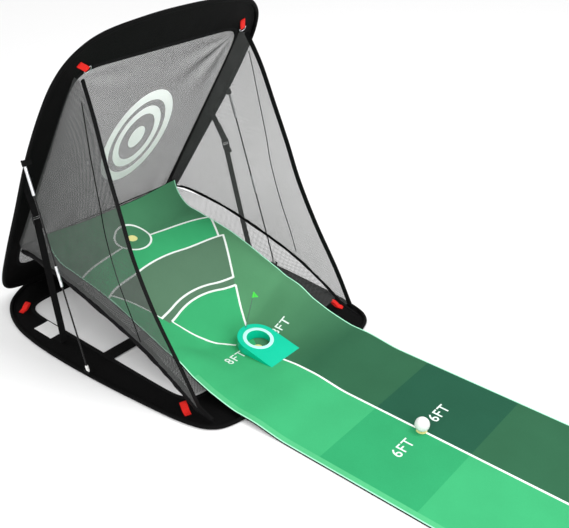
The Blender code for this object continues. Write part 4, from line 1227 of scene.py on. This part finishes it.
# %% Side straps and buckles
STRAP_WIDTH = 0.024
BUCKLE_HEIGHT = 0.036
BUCKLE_WIRE, BUCKLE_BAR = 0.0023, 0.0019
STRAP_PLACES = {  # sewn and leaving up the panel; buckle before the hinge, and its height; foot
    "left": (0.66, 0.61, 0.345, 0.452, 0.385), "right": (0.70, 0.67, 0.417, 0.484, 0.54)}
for side, label in SIDES:
    sewn_up, leave_up, buckle_front, buckle_height, foot_front = STRAP_PLACES[label]
    x = side * (PANEL_WIDTH / 2 - 0.040)
    half = Vector((STRAP_WIDTH / 2, 0, 0))
    top_end, leave = [panel_face(x, up, WEBBING / 2 + GAP + 0.0012) for up in (sewn_up, leave_up)]
    buckle_top = Vector((x, HINGE.y - buckle_front, buckle_height))
    foot = Vector((x, HINGE.y - foot_front, FABRIC + GAP + WEBBING / 2 + 0.0008))
    down = (foot - buckle_top).normalized()
    face = Vector((1, 0, 0)).cross(down)
    bar_top = buckle_top + down * 0.006
    loop = [top_end, leave, leave.lerp(bar_top, 0.35), bar_top + face * 0.002, bar_top + down * 0.003,
            bar_top - face * 0.003, leave.lerp(bar_top, 0.5) - face * 0.0022]
    loop_path = smooth_open(loop, 36)
    parts[label + "_strap_loop"] = ribbon(label + "_panel_strap", loop_path, half, WEBBING, STRAP)
    bar_low = buckle_top + down * (BUCKLE_HEIGHT - 0.006)
    tail = [bar_low - face * 0.012 + down * 0.02, bar_low - face * 0.003, bar_low - down * 0.003,
            bar_low + face * 0.002, bar_low.lerp(foot, 0.25) + face * 0.001,
            bar_low.lerp(foot, 0.6) - face * 0.001, foot + Vector((0, -0.004, 0.012)), foot,
            foot + Vector((0, 0.02, 0)), foot + Vector((0, 0.04, 0))]
    tail_path = smooth_open(tail, 64)
    parts[label + "_strap_tail"] = ribbon(label + "_floor_strap", tail_path, half, WEBBING, STRAP)

    middle = buckle_top + down * (BUCKLE_HEIGHT / 2)
    corners = rounded(STRAP_WIDTH + 0.004, BUCKLE_HEIGHT - 0.004, 0.004, 4)
    frame_path = [middle + Vector((a, 0, 0)) + down * b for a, b in corners]
    points, faces = tube_parts(frame_path, BUCKLE_WIRE, 10, ring=True)
    bar = [middle - down * 0.002 + Vector((a, 0, 0)) for a in (-0.0135, 0, 0.0135)]
    more, more_faces = tube_parts(bar, BUCKLE_BAR, 10)
    faces += [tuple(len(points) + i for i in f) for f in more_faces]
    points += more
    parts[label + "_buckle"] = piece(label + "_ladder_buckle", points, faces, BUCKLE)
print("straps done")

# %% [markdown]
# ## Red tabs, steel rings and the care label
# A tab is a short length of red webbing folded back on itself round an eye. The two at
# the top of the panel each hold a small steel ring for hanging.

# %% Red tabs, steel rings and the care label
RING_WIRE = 0.0012
TOP_TAB = [(-0.002, 0.0006), (0.015, 0.0006), (0.032, 0.0007), (0.0385, 0.0014), (0.0420, 0.0029),
           (0.0385, 0.0044), (0.032, 0.0038), (0.022, 0.0024), (0.010, 0.0021), (0.0, 0.0021)]
PULL_TAB = [(-0.002, 0.0006), (0.01, 0.0006), (0.020, 0.0030), (0.030, 0.0095), (0.037, 0.0165),
            (0.0385, 0.0200), (0.034, 0.0205), (0.024, 0.0150), (0.013, 0.0050), (0.003, 0.0021)]


def tab(name, base, way, up, shape, half):
    way = Vector(way).normalized()
    path = smooth_open([base + way * a + up * b for a, b in shape], 48)
    return ribbon(name, path, way.cross(up) * half, WEBBING, RED)


for side, label in SIDES:
    for where, out, front, across_way, along_way in (("rear", 0.360, 0.135, 1, 0.2),
                                                     ("front", 0.369, 0.955, 0.4, 1)):
        base = Vector((side * out, HINGE.y - front, FABRIC + GAP + 0.001))
        name = f"{where}_{label}_tab"
        parts[name] = tab(name + "_loop", base, (-side * across_way, along_way, 0), Vector((0, 0, 1)),
                          PULL_TAB, 0.010)
    base = panel_face(side * (PANEL_WIDTH / 2 - 0.1), PANEL_LENGTH - 0.125, GAP + 0.0012)
    lean = 0.8 if side < 0 else 0.44
    way = Vector((lean, 0, 0)) - UP_PANEL * math.sqrt(1 - lean * lean)
    parts[f"top_{label}_tab"] = tab(f"top_{label}_tab_loop", base - way * 0.006, way, OFF_PANEL,
                                    TOP_TAB, 0.009)
    cross = way.cross(OFF_PANEL)
    eye = base + way * 0.033 + OFF_PANEL * 0.0029
    ring = [eye - cross * 0.0115, eye, eye + cross * 0.0115]
    for k in range(1, 8):
        turn_by = math.pi * k / 8
        ring.append(eye + cross * (0.0125 * math.cos(turn_by)) + way * (0.013 * math.sin(turn_by)))
    parts[f"{label}_d_ring"] = tube(f"{label}_steel_ring", smooth_closed(ring, 5), RING_WIRE,
                                    STEEL, 10, True)

LABEL_WIDTH, LABEL_LENGTH, LABEL_X, LABEL_FRONT = 0.055, 0.09, -0.390, 0.25
label_points, label_faces = [], []
for r in range(13):
    for c in range(9):
        lift = 0.0022 * (c / 8) ** 3 + 0.0006 * math.sin(r * 0.8) ** 2
        for layer_height in (0.0012, 0.0016):
            label_points.append(Vector((LABEL_X + LABEL_WIDTH * c / 8,
                                        HINGE.y - LABEL_FRONT - LABEL_LENGTH * r / 12,
                                        FABRIC + lift + layer_height)))
for r in range(12):
    for c in range(8):
        a, b, d, e = [2 * (i * 9 + j) for i, j in ((r, c), (r, c + 1), (r + 1, c + 1), (r + 1, c))]
        label_faces += [(a + 1, b + 1, d + 1, e + 1), (a, e, d, b)]
rim = list(range(9)) + [r * 9 + 8 for r in range(1, 13)]
rim += [12 * 9 + c for c in reversed(range(8))] + [r * 9 for r in reversed(range(1, 12))]
label_faces += [(2 * a, 2 * b, 2 * b + 1, 2 * a + 1) for a, b in zip(rim, rim[1:] + rim[:1])]
parts["care_label"] = piece("blank_care_label", label_points, label_faces, SATIN)
print("tabs, rings and label done")

# %% [markdown]
# ## The hinge strip
# A strip of band cloth is sewn across the back of both rings. It wraps the floor hem and
# runs a little way up the panel's back, which is what the panel folds about.

# %% The hinge strip
STRIP_HALF, STRIP_UP, STRIP_COLUMNS = 0.18, 0.045, 37
strip_points = []
profile = []
for radius, order in ((STRIP_RADIUS, 1), (HEM_RADIUS + GAP, -1)):
    arc = []
    for k in range(13):
        bend = math.radians(-25) + (math.pi / 2 - PANEL_LEAN + math.radians(25)) * k / 12
        arc.append(Vector((0, radius * math.cos(bend), radius * math.sin(bend))))
    arc += [UP_PANEL * (STRIP_UP * t) - OFF_PANEL * radius for t in (0.25, 0.5, 0.75, 1.0)]
    profile += arc[::order]
for c in range(STRIP_COLUMNS):
    x = STRIP_HALF * (c / 18 - 1)
    for k, p in enumerate(profile):
        end = 0.0012 * math.sin(c * 1.3) if k in (16, 17) else 0.0
        strip_points.append(HINGE + Vector((x, 0, 0)) + p + UP_PANEL * end)
strip_faces = skin(STRIP_COLUMNS, len(profile)) + ends_of(STRIP_COLUMNS, len(profile))
parts["rear_hinge_strip"] = piece("cloth_hinge_strip", strip_points, strip_faces, HEM)
print("hinge strip has", len(strip_faces), "faces")

# %% [markdown]
# ## The brace rods
# Each rod is fibreglass in two lengths joined by a steel tube, with a white nylon foot
# and a long plated tip. They are turned and swept shapes, with rounded ends.

# %% The brace rods
ROD_RADIUS, TIP_RADIUS = 0.0025, 0.005
ROD_TOP_UP, ROD_SPLIT = 0.755, 0.47
ROD_FEET = {}
for side, label in SIDES:
    low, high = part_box(label + "_rod_foot_tip")
    print(label, "foot tip is packed from", round(low[2], 4), "to", round(high[2], 4), "m up")
    pivot_joint = next(j for j in frame["joints"] if j["name"] == label + "_rod_swing")
    start = Vector(pivot_joint["pos_m"])
    tip = on_panel(0, ROD_TOP_UP, HEM_RADIUS + 0.0005)
    end = Vector((side * (PANEL_WIDTH / 2 + TIP_RADIUS + 2 * GAP), tip.y, tip.z))
    ROD_FEET[label] = start
    way = (end - start).normalized()
    split = start + way * ((end - start).length * ROD_SPLIT)
    rod = label + "_rod_"
    for name, first, last in ((rod + "lower", start + way * 0.006, split - way * GAP),
                              (rod + "upper", split + way * GAP, end - way * 0.004)):
        path = [first.lerp(last, k / 12) for k in range(13)]
        parts[name] = tube(name + "_length", path, ROD_RADIUS, FIBREGLASS, 16)
    bore, outer = ROD_RADIUS + 0.0002, 0.0042
    sleeve = [(bore, -0.0325), (outer - 0.0004, -0.0325), (outer, -0.0320), (outer, -0.014),
              (outer - 0.0003, -0.0135), (outer, -0.013), (outer, 0.013), (outer - 0.0003, 0.0135),
              (outer, 0.014), (outer, 0.0320), (outer - 0.0004, 0.0325), (bore, 0.0325)]
    parts[rod + "ferrule"] = lathe(rod + "sleeve", sleeve, split, way, STEEL, 24, closed=True)
    for name, base, inward, radius, length, floor_at, finish in (
            (rod + "foot_tip", start, way, TIP_RADIUS, 0.018, 0.0057, NYLON),
            (rod + "top_tip", end, -way, 0.0045, 0.10, 0.0037, STEEL)):
        cap = [(radius * math.cos(t), radius * math.sin(t)) for t in
               [math.radians(a) for a in (-88, -75, -60, -45, -30, -15, 0)]]
        cap += [(radius, length * 0.3), (radius * 0.94, length * 0.32), (radius * 0.94, length * 0.36),
                (radius, length * 0.38), (radius, length - 0.0006), (radius - 0.0006, length),
                (bore, length), (bore, floor_at), (0.0002, floor_at)]
        parts[name] = lathe(name + "_cap", cap, base, inward, finish, 24)
    cradle = [(-0.0062, 0.004), (-0.0062, -0.003), (-0.0045, -0.0060), (0.0, -0.0062),
              (0.0045, -0.0060), (0.0062, -0.003), (0.0062, 0.004)]
    cradle_path = smooth_open([start + Vector((a, 0, b)) for a, b in cradle], 30)
    parts[label + "_rod_cradle"] = ribbon(label + "_foot_sling", cradle_path, Vector((0, 0.012, 0)),
                                          WEBBING, STRAP)
    ahead = way.cross(Vector((1, 0, 0)))
    ahead = ahead if ahead.y < 0 else -ahead
    inner_x = PANEL_WIDTH / 2 - 0.004
    tip_x = end.x * side
    stay = [(inner_x - 0.010, 0.0075), (inner_x, 0.0068), (tip_x, 0.0064), (tip_x + 0.006, 0.004),
            (tip_x + 0.0066, 0.0), (tip_x + 0.006, -0.004), (tip_x, -0.0062)]
    middle = Vector((0, end.y, end.z)) - way * 0.005
    stay_path = smooth_open([middle + Vector((side * a, 0, 0)) + ahead * b for a, b in stay], 30)
    parts[label + "_rod_stay"] = ribbon(label + "_tip_sling", stay_path, way * 0.009, WEBBING, STRAP)
print("rod feet at", {k: [round(c, 4) for c in p] for k, p in ROD_FEET.items()})

# %% [markdown]
# ## The cup, the flag and the ball
# The cup is a moulded ramp with a hole, so it is cut from a block, as the tool-maker
# would, and its edges are then softened. The ball gets its real dimples: points spread
# evenly over a sphere, each one pressing in the surface round it.

# %% The cup and its ring
CUP = Vector((0.012, TEE_Y + MARK_8 + 0.006, MAT_ON_SLING + MAT_THICKNESS + GAP))
CUP_RADIUS, CUP_HEIGHT, HOLE, RING = 0.067, 0.026, 0.038, 0.050
RAMP_TOE, TOE_HEIGHT, RING_DEPTH = -0.125, 0.0012, 0.0018
CUP_SIDES = 72
CUP_SLOPE = (CUP_HEIGHT - TOE_HEIGHT) / -RAMP_TOE
CUP_UP = Vector((0, -CUP_SLOPE, 1)).normalized()
CUP_SEAT = CUP + Vector((0, 0, CUP_HEIGHT)) - CUP_UP * RING_DEPTH


def block_of(name, outline, low, high):
    """An upright block over an outline in X and Y."""
    count = len(outline)
    points = [Vector((x, y, low)) for x, y in outline] + [Vector((x, y, high)) for x, y in outline]
    faces = [tuple(range(count)), tuple(range(count, 2 * count))]
    faces += [(k, (k + 1) % count, count + (k + 1) % count, count + k) for k in range(count)]
    return piece(name, points, faces, TEAL)


def cut_away(target, cutter):
    modifier = target.modifiers.new("cut", "BOOLEAN")
    modifier.operation = "DIFFERENCE"
    modifier.solver = "EXACT"
    modifier.object = cutter
    bpy.context.view_layer.update()
    result = target.evaluated_get(bpy.context.evaluated_depsgraph_get())
    mesh = bpy.data.meshes.new_from_object(result)
    target.modifiers.clear()
    target.data = mesh
    bpy.data.objects.remove(cutter)


def circle(radius):
    turns = [2 * math.pi * k / CUP_SIDES for k in range(CUP_SIDES)]
    return [(CUP.x + radius * math.cos(turn), CUP.y + radius * math.sin(turn)) for turn in turns]


body_line = circle(CUP_RADIUS)[: CUP_SIDES // 2 + 1]
body_line += [(CUP.x - CUP_RADIUS, CUP.y + RAMP_TOE), (CUP.x + CUP_RADIUS, CUP.y + RAMP_TOE)]
cup = block_of("ramped_cup", body_line, CUP.z, CUP.z + CUP_HEIGHT + 0.03)
front, back = RAMP_TOE - 0.01, CUP_RADIUS + 0.01
wedge = [(front, CUP_HEIGHT + CUP_SLOPE * front), (back, CUP_HEIGHT + CUP_SLOPE * back),
         (back, 0.08), (front, 0.08)]
points = [Vector((CUP.x + s * 0.08, CUP.y + y, CUP.z + z)) for s in (-1, 1) for y, z in wedge]
faces = [(0, 1, 2, 3), (4, 5, 6, 7)] + [(k, (k + 1) % 4, 4 + (k + 1) % 4, 4 + k) for k in range(4)]
cut_away(cup, piece("ramp", points, faces, TEAL))
cut_away(cup, block_of("hole", circle(HOLE), CUP.z - 0.01, CUP.z + 0.09))
up_slope = CUP_UP.cross(Vector((1, 0, 0)))
tilted = [Vector((x - CUP.x, 0, 0)) + up_slope * (y - CUP.y) for x, y in circle(RING)]
points = [CUP_SEAT + CUP_UP * high + p for high in (0, 0.03) for p in tilted]
cut_away(cup, piece("seat", points, skin(2, CUP_SIDES) + ends_of(2, CUP_SIDES), TEAL))
soft = cup.modifiers.new("soft_edges", "BEVEL")
soft.width = 0.0008
soft.segments = 3
soft.limit_method = "ANGLE"
soft.angle_limit = math.radians(35)
cup.data.shade_smooth()
cup.data.set_sharp_from_angle(angle=math.radians(50))
ring_profile = [(HOLE, 0), (RING - GAP, 0), (RING - GAP, 0.0014), (RING - 0.0008, 0.0018),
                (HOLE + 0.0012, 0.0018), (HOLE + 0.0003, 0.0014), (HOLE, 0.0008)]
parts["cup"] = cup
parts["cup_ring"] = lathe("cup_rim_ring", ring_profile, CUP_SEAT + CUP_UP * GAP, CUP_UP, MINT, 96,
                          closed=True)
print("cup stands at", [round(v, 4) for v in CUP])

# %% The flag and its pole
POLE_TILT, POLE_LENGTH, POLE_RADIUS = math.radians(20), 0.14, 0.0012
foot_back = CUP_RADIUS - (CUP_RADIUS - RING) / 2
pole_foot = CUP + Vector((0, foot_back, CUP_HEIGHT + CUP_SLOPE * foot_back - 0.014))
pole_way = Vector((math.sin(POLE_TILT), 0, math.cos(POLE_TILT)))
pole_top = pole_foot + pole_way * POLE_LENGTH
pole = [pole_foot.lerp(pole_top, k / 10) for k in range(11)]
parts["flag_pole"] = tube("wire_pole", pole + [pole_top + pole_way * 0.0006],
                          [POLE_RADIUS] * 11 + [POLE_RADIUS * 0.6], WIRE, 16)
flag_side = Vector((0, 1, 0)).cross(pole_way).normalized()
flag_base = pole_top - pole_way * 0.022
points, faces = tube_parts([flag_base + pole_way * (0.02 * k / 4) for k in range(5)], 0.0024, 16)
leaf_start = len(points)
for r in range(13):
    share = r / 12
    out_by = 0.0018 + 0.0242 * share
    curl = 0.0016 * math.sin(share * 5.0)
    for height in (0.0198 * (1 - share * 0.92), 0.0):
        for thick in (-0.0004, 0.0004):
            points.append(flag_base + flag_side * out_by + pole_way * (height + 0.0001)
                          + Vector((0, thick + curl, 0)))
for r in range(12):
    a, b = leaf_start + 4 * r, leaf_start + 4 * (r + 1)
    faces += [(a, b, b + 2, a + 2), (a + 1, a + 3, b + 3, b + 1), (a, a + 1, b + 1, b),
              (a + 2, b + 2, b + 3, a + 3)]
faces += [(leaf_start, leaf_start + 2, leaf_start + 3, leaf_start + 1),
          tuple(leaf_start + 48 + i for i in (0, 1, 3, 2))]
parts["flag"] = piece("lime_flag", points, faces, LIME)
print("flag top at", [round(v, 4) for v in pole_top])

# %% The ball
BALL_RADIUS, DIMPLES, DIMPLE_RADIUS, DIMPLE_DEPTH = 0.021335, 336, 0.00172, 0.00026
BALL = Vector((0, TEE_Y + 6 * FOOT, MAT_THICKNESS + GAP + BALL_RADIUS))
COVER = Finish("ball_cover", (0.82, 0.82, 0.81, 1), 0.22, Coat_Weight=0.4, Coat_Roughness=0.08)
COVER.paint(COVER.blend(COVER.noise(70, 3), (0.78, 0.78, 0.77, 1), (0.86, 0.86, 0.855, 1)))
COVER.rough(COVER.noise(180, 2) * 0.1 + 0.18)
work = bmesh.new()
bmesh.ops.create_icosphere(work, subdivisions=6, radius=1)
golden = math.pi * (3 - math.sqrt(5))
centres = []
for k in range(DIMPLES):
    height = 1 - 2 * (k + 0.5) / DIMPLES
    level = math.sqrt(1 - height * height)
    centres.append((level * math.cos(golden * k), level * math.sin(golden * k), height))
centres = np.array(centres)
ways = np.array([p.co for p in work.verts])
nearest = np.arccos(np.clip(ways @ centres.T, -1, 1)).min(axis=1) * BALL_RADIUS
press = np.clip(1 - (nearest / DIMPLE_RADIUS) ** 2, 0, 1) ** 0.8 * DIMPLE_DEPTH
for vertex, way, depth in zip(work.verts, ways, press):
    vertex.co = Vector(way * (BALL_RADIUS - depth)) + BALL
mesh = bpy.data.meshes.new("dimpled_ball")
work.to_mesh(mesh)
work.free()
mesh.materials.append(COVER.material)
mesh.shade_smooth()
ball = bpy.data.objects.new("dimpled_ball", mesh)
scene.collection.objects.link(ball)
parts["golf_ball"] = ball
print("ball has", len(mesh.polygons), "faces and", DIMPLES, "dimples")

# %% [markdown]
# ## Stitching with Geometry Nodes
# Sewing is one small shape repeated along a path. The tree spaces points along a curve,
# turns a short bead to follow it at each one, and paints it as thread. The spacing and
# the bead's size are inputs, so the ring hems, the window bindings and the tabs share the tree.

# %% The stitch tree
def stitch_tree():
    tree, given, result = new_tree("running_stitch", [
        ("Pitch", "NodeSocketFloat", 0.0045),
        ("Stitch Size", "NodeSocketVector", (0.0003, 0.0003, 0.0014)),
        ("Thread Material", "NodeSocketMaterial", None),
    ])
    curve = tree.nodes.new("GeometryNodeMeshToCurve")
    spaced = tree.nodes.new("GeometryNodeResampleCurve")
    spaced.mode = "LENGTH"
    tangent = tree.nodes.new("GeometryNodeInputTangent")
    aim = tree.nodes.new("FunctionNodeAlignEulerToVector")
    aim.axis = "Z"
    bead = tree.nodes.new("GeometryNodeMeshIcoSphere")
    bead.inputs["Radius"].default_value = 1.0
    bead.inputs["Subdivisions"].default_value = 1
    place = tree.nodes.new("GeometryNodeInstanceOnPoints")
    real = tree.nodes.new("GeometryNodeRealizeInstances")
    paint = tree.nodes.new("GeometryNodeSetMaterial")
    chain(tree, (given.outputs["Geometry"], curve.inputs[0]), (curve.outputs[0], spaced.inputs["Curve"]),
          (given.outputs["Pitch"], spaced.inputs["Length"]), (spaced.outputs[0], place.inputs["Points"]),
          (tangent.outputs[0], aim.inputs["Vector"]), (aim.outputs[0], place.inputs["Rotation"]),
          (bead.outputs["Mesh"], place.inputs["Instance"]),
          (given.outputs["Stitch Size"], place.inputs["Scale"]), (place.outputs[0], real.inputs[0]),
          (real.outputs[0], paint.inputs["Geometry"]),
          (given.outputs["Thread Material"], paint.inputs["Material"]),
          (paint.outputs[0], result.inputs[0]))
    return tree


STITCHES = stitch_tree()


def sew(name, paths, body, slot_name, pitch=0.0045, size=(0.00035, 0.00035, 0.0015), finish=THREAD):
    points, edges = [], []
    for path in paths:
        edges += [(len(points) + k, len(points) + k + 1) for k in range(len(path) - 1)]
        points += path
    made = grow(name, points, edges, STITCHES, pitch=pitch, stitch_size=size,
                thread_material=finish.material)
    return settle(made, body, slot_name)


def ring_path(outline, place, inset, height):
    path = []
    for i, centre in enumerate(outline):
        way = outline[(i + 1) % len(outline)] - outline[i - 1]
        out = Vector((way.y, -way.x)).normalized()
        p = centre - out * inset
        path.append(place(p.x, p.y, height))
    return path + path[:1]


def window_path(window, place, centre, inset, height):
    path = []
    for p in window:
        q = p + (p - centre).normalized() * inset
        path.append(place(q.x, q.y, height))
    return path + path[:1]


print("node tree", STITCHES.name, "has", len(STITCHES.nodes), "nodes")

# %% [markdown]
# ## Every piece on its body
# Each piece now rides on the imported body it belongs to and stands for its imported node.
# The strap tails, which are held at both ends, stay where they were built and ride on no body.

# %% Sewing
sew("floor_ring_stitching", [ring_path(floor_line, on_floor, 0.0092, FABRIC + 0.0010),
                             window_path(floor_window, on_floor, FLOOR_MIDDLE, 0.0105, 0.0026)],
    "base", "webbing")
sew("panel_ring_stitching", [ring_path(panel_line, on_panel, 0.0092, FABRIC + 0.0012),
                             ring_path(panel_line, on_panel, 0.0115, FABRIC + 0.0012),
                             window_path(panel_window, on_panel, PANEL_MIDDLE, 0.0105, 0.0026)],
    "back_panel", "webbing")
tab_paths = []
for side, label in SIDES:
    base = panel_face(side * (PANEL_WIDTH / 2 - 0.1), PANEL_LENGTH - 0.125, GAP + 0.0042)
    for a in (0.001, 0.008):
        tab_paths.append([base - UP_PANEL * a + Vector((c, 0, 0)) for c in (-0.006, 0.006)])
    for c in (-0.006, 0.006):
        tab_paths.append([base - UP_PANEL * a + Vector((c, 0, 0)) for a in (0.001, 0.008)])
sew("tab_stitching", tab_paths, "back_panel", "tab_webbing", 0.002, (0.0003, 0.0003, 0.0008), RED)
print("sewn")

# %% Riding on the bodies
BODY_OF = {node: body for body, nodes in frame["record"]["behaviour"]["bodies"].items()
           for node in nodes}
parts["putting_mat"] = mat
parts["floor_band"], parts["panel_band"] = floor_band, panel_band
parts["back_net"], parts["mat_sling"] = back_net, sling
parts["left_side_net"], parts["right_side_net"] = side_nets["left"], side_nets["right"]
parts.update(targets)

LAID = {"putting_mat", "mat_sling", "left_sling_hem", "right_sling_hem"}
SLACK = {label + kind for _, label in SIDES for kind in ("_side_net", "_net_cord", "_front_webbing")}


def collapse(made):
    """Gives the piece a mesh of its own, and leaves its shape as it is."""
    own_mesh(made)


for node, made in parts.items():
    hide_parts(node)
    if node.endswith("_strap_tail"):
        label = node.split("_")[0]
        _, _, front, height, foot_front = STRAP_PLACES[label]
        Vector((0, HINGE.y - front - 0.01, height - 0.05))
        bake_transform(made)
    else:
        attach(made, BODY_OF[node])
    if node in LAID:
        collapse(made)
    elif node in SLACK:
        collapse(made)
for made, body, slot_name in ((floor_binding, "base", "band_fabric"),
                              (panel_binding, "back_panel", "band_fabric")):
    settle(made, body, slot_name)
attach(numerals, "base")
collapse(numerals)
for node in ("floor_hoop", "panel_hoop"):
    packed = frame["nodes"][node]
    for material_slot in packed.material_slots:
        material_slot.material = SPRING.material
print(len(parts), "pieces stand for packed nodes")

# %% [markdown]
# ## An empty loop over the two sides

# %% An empty loop over the two sides
for side, label in SIDES:
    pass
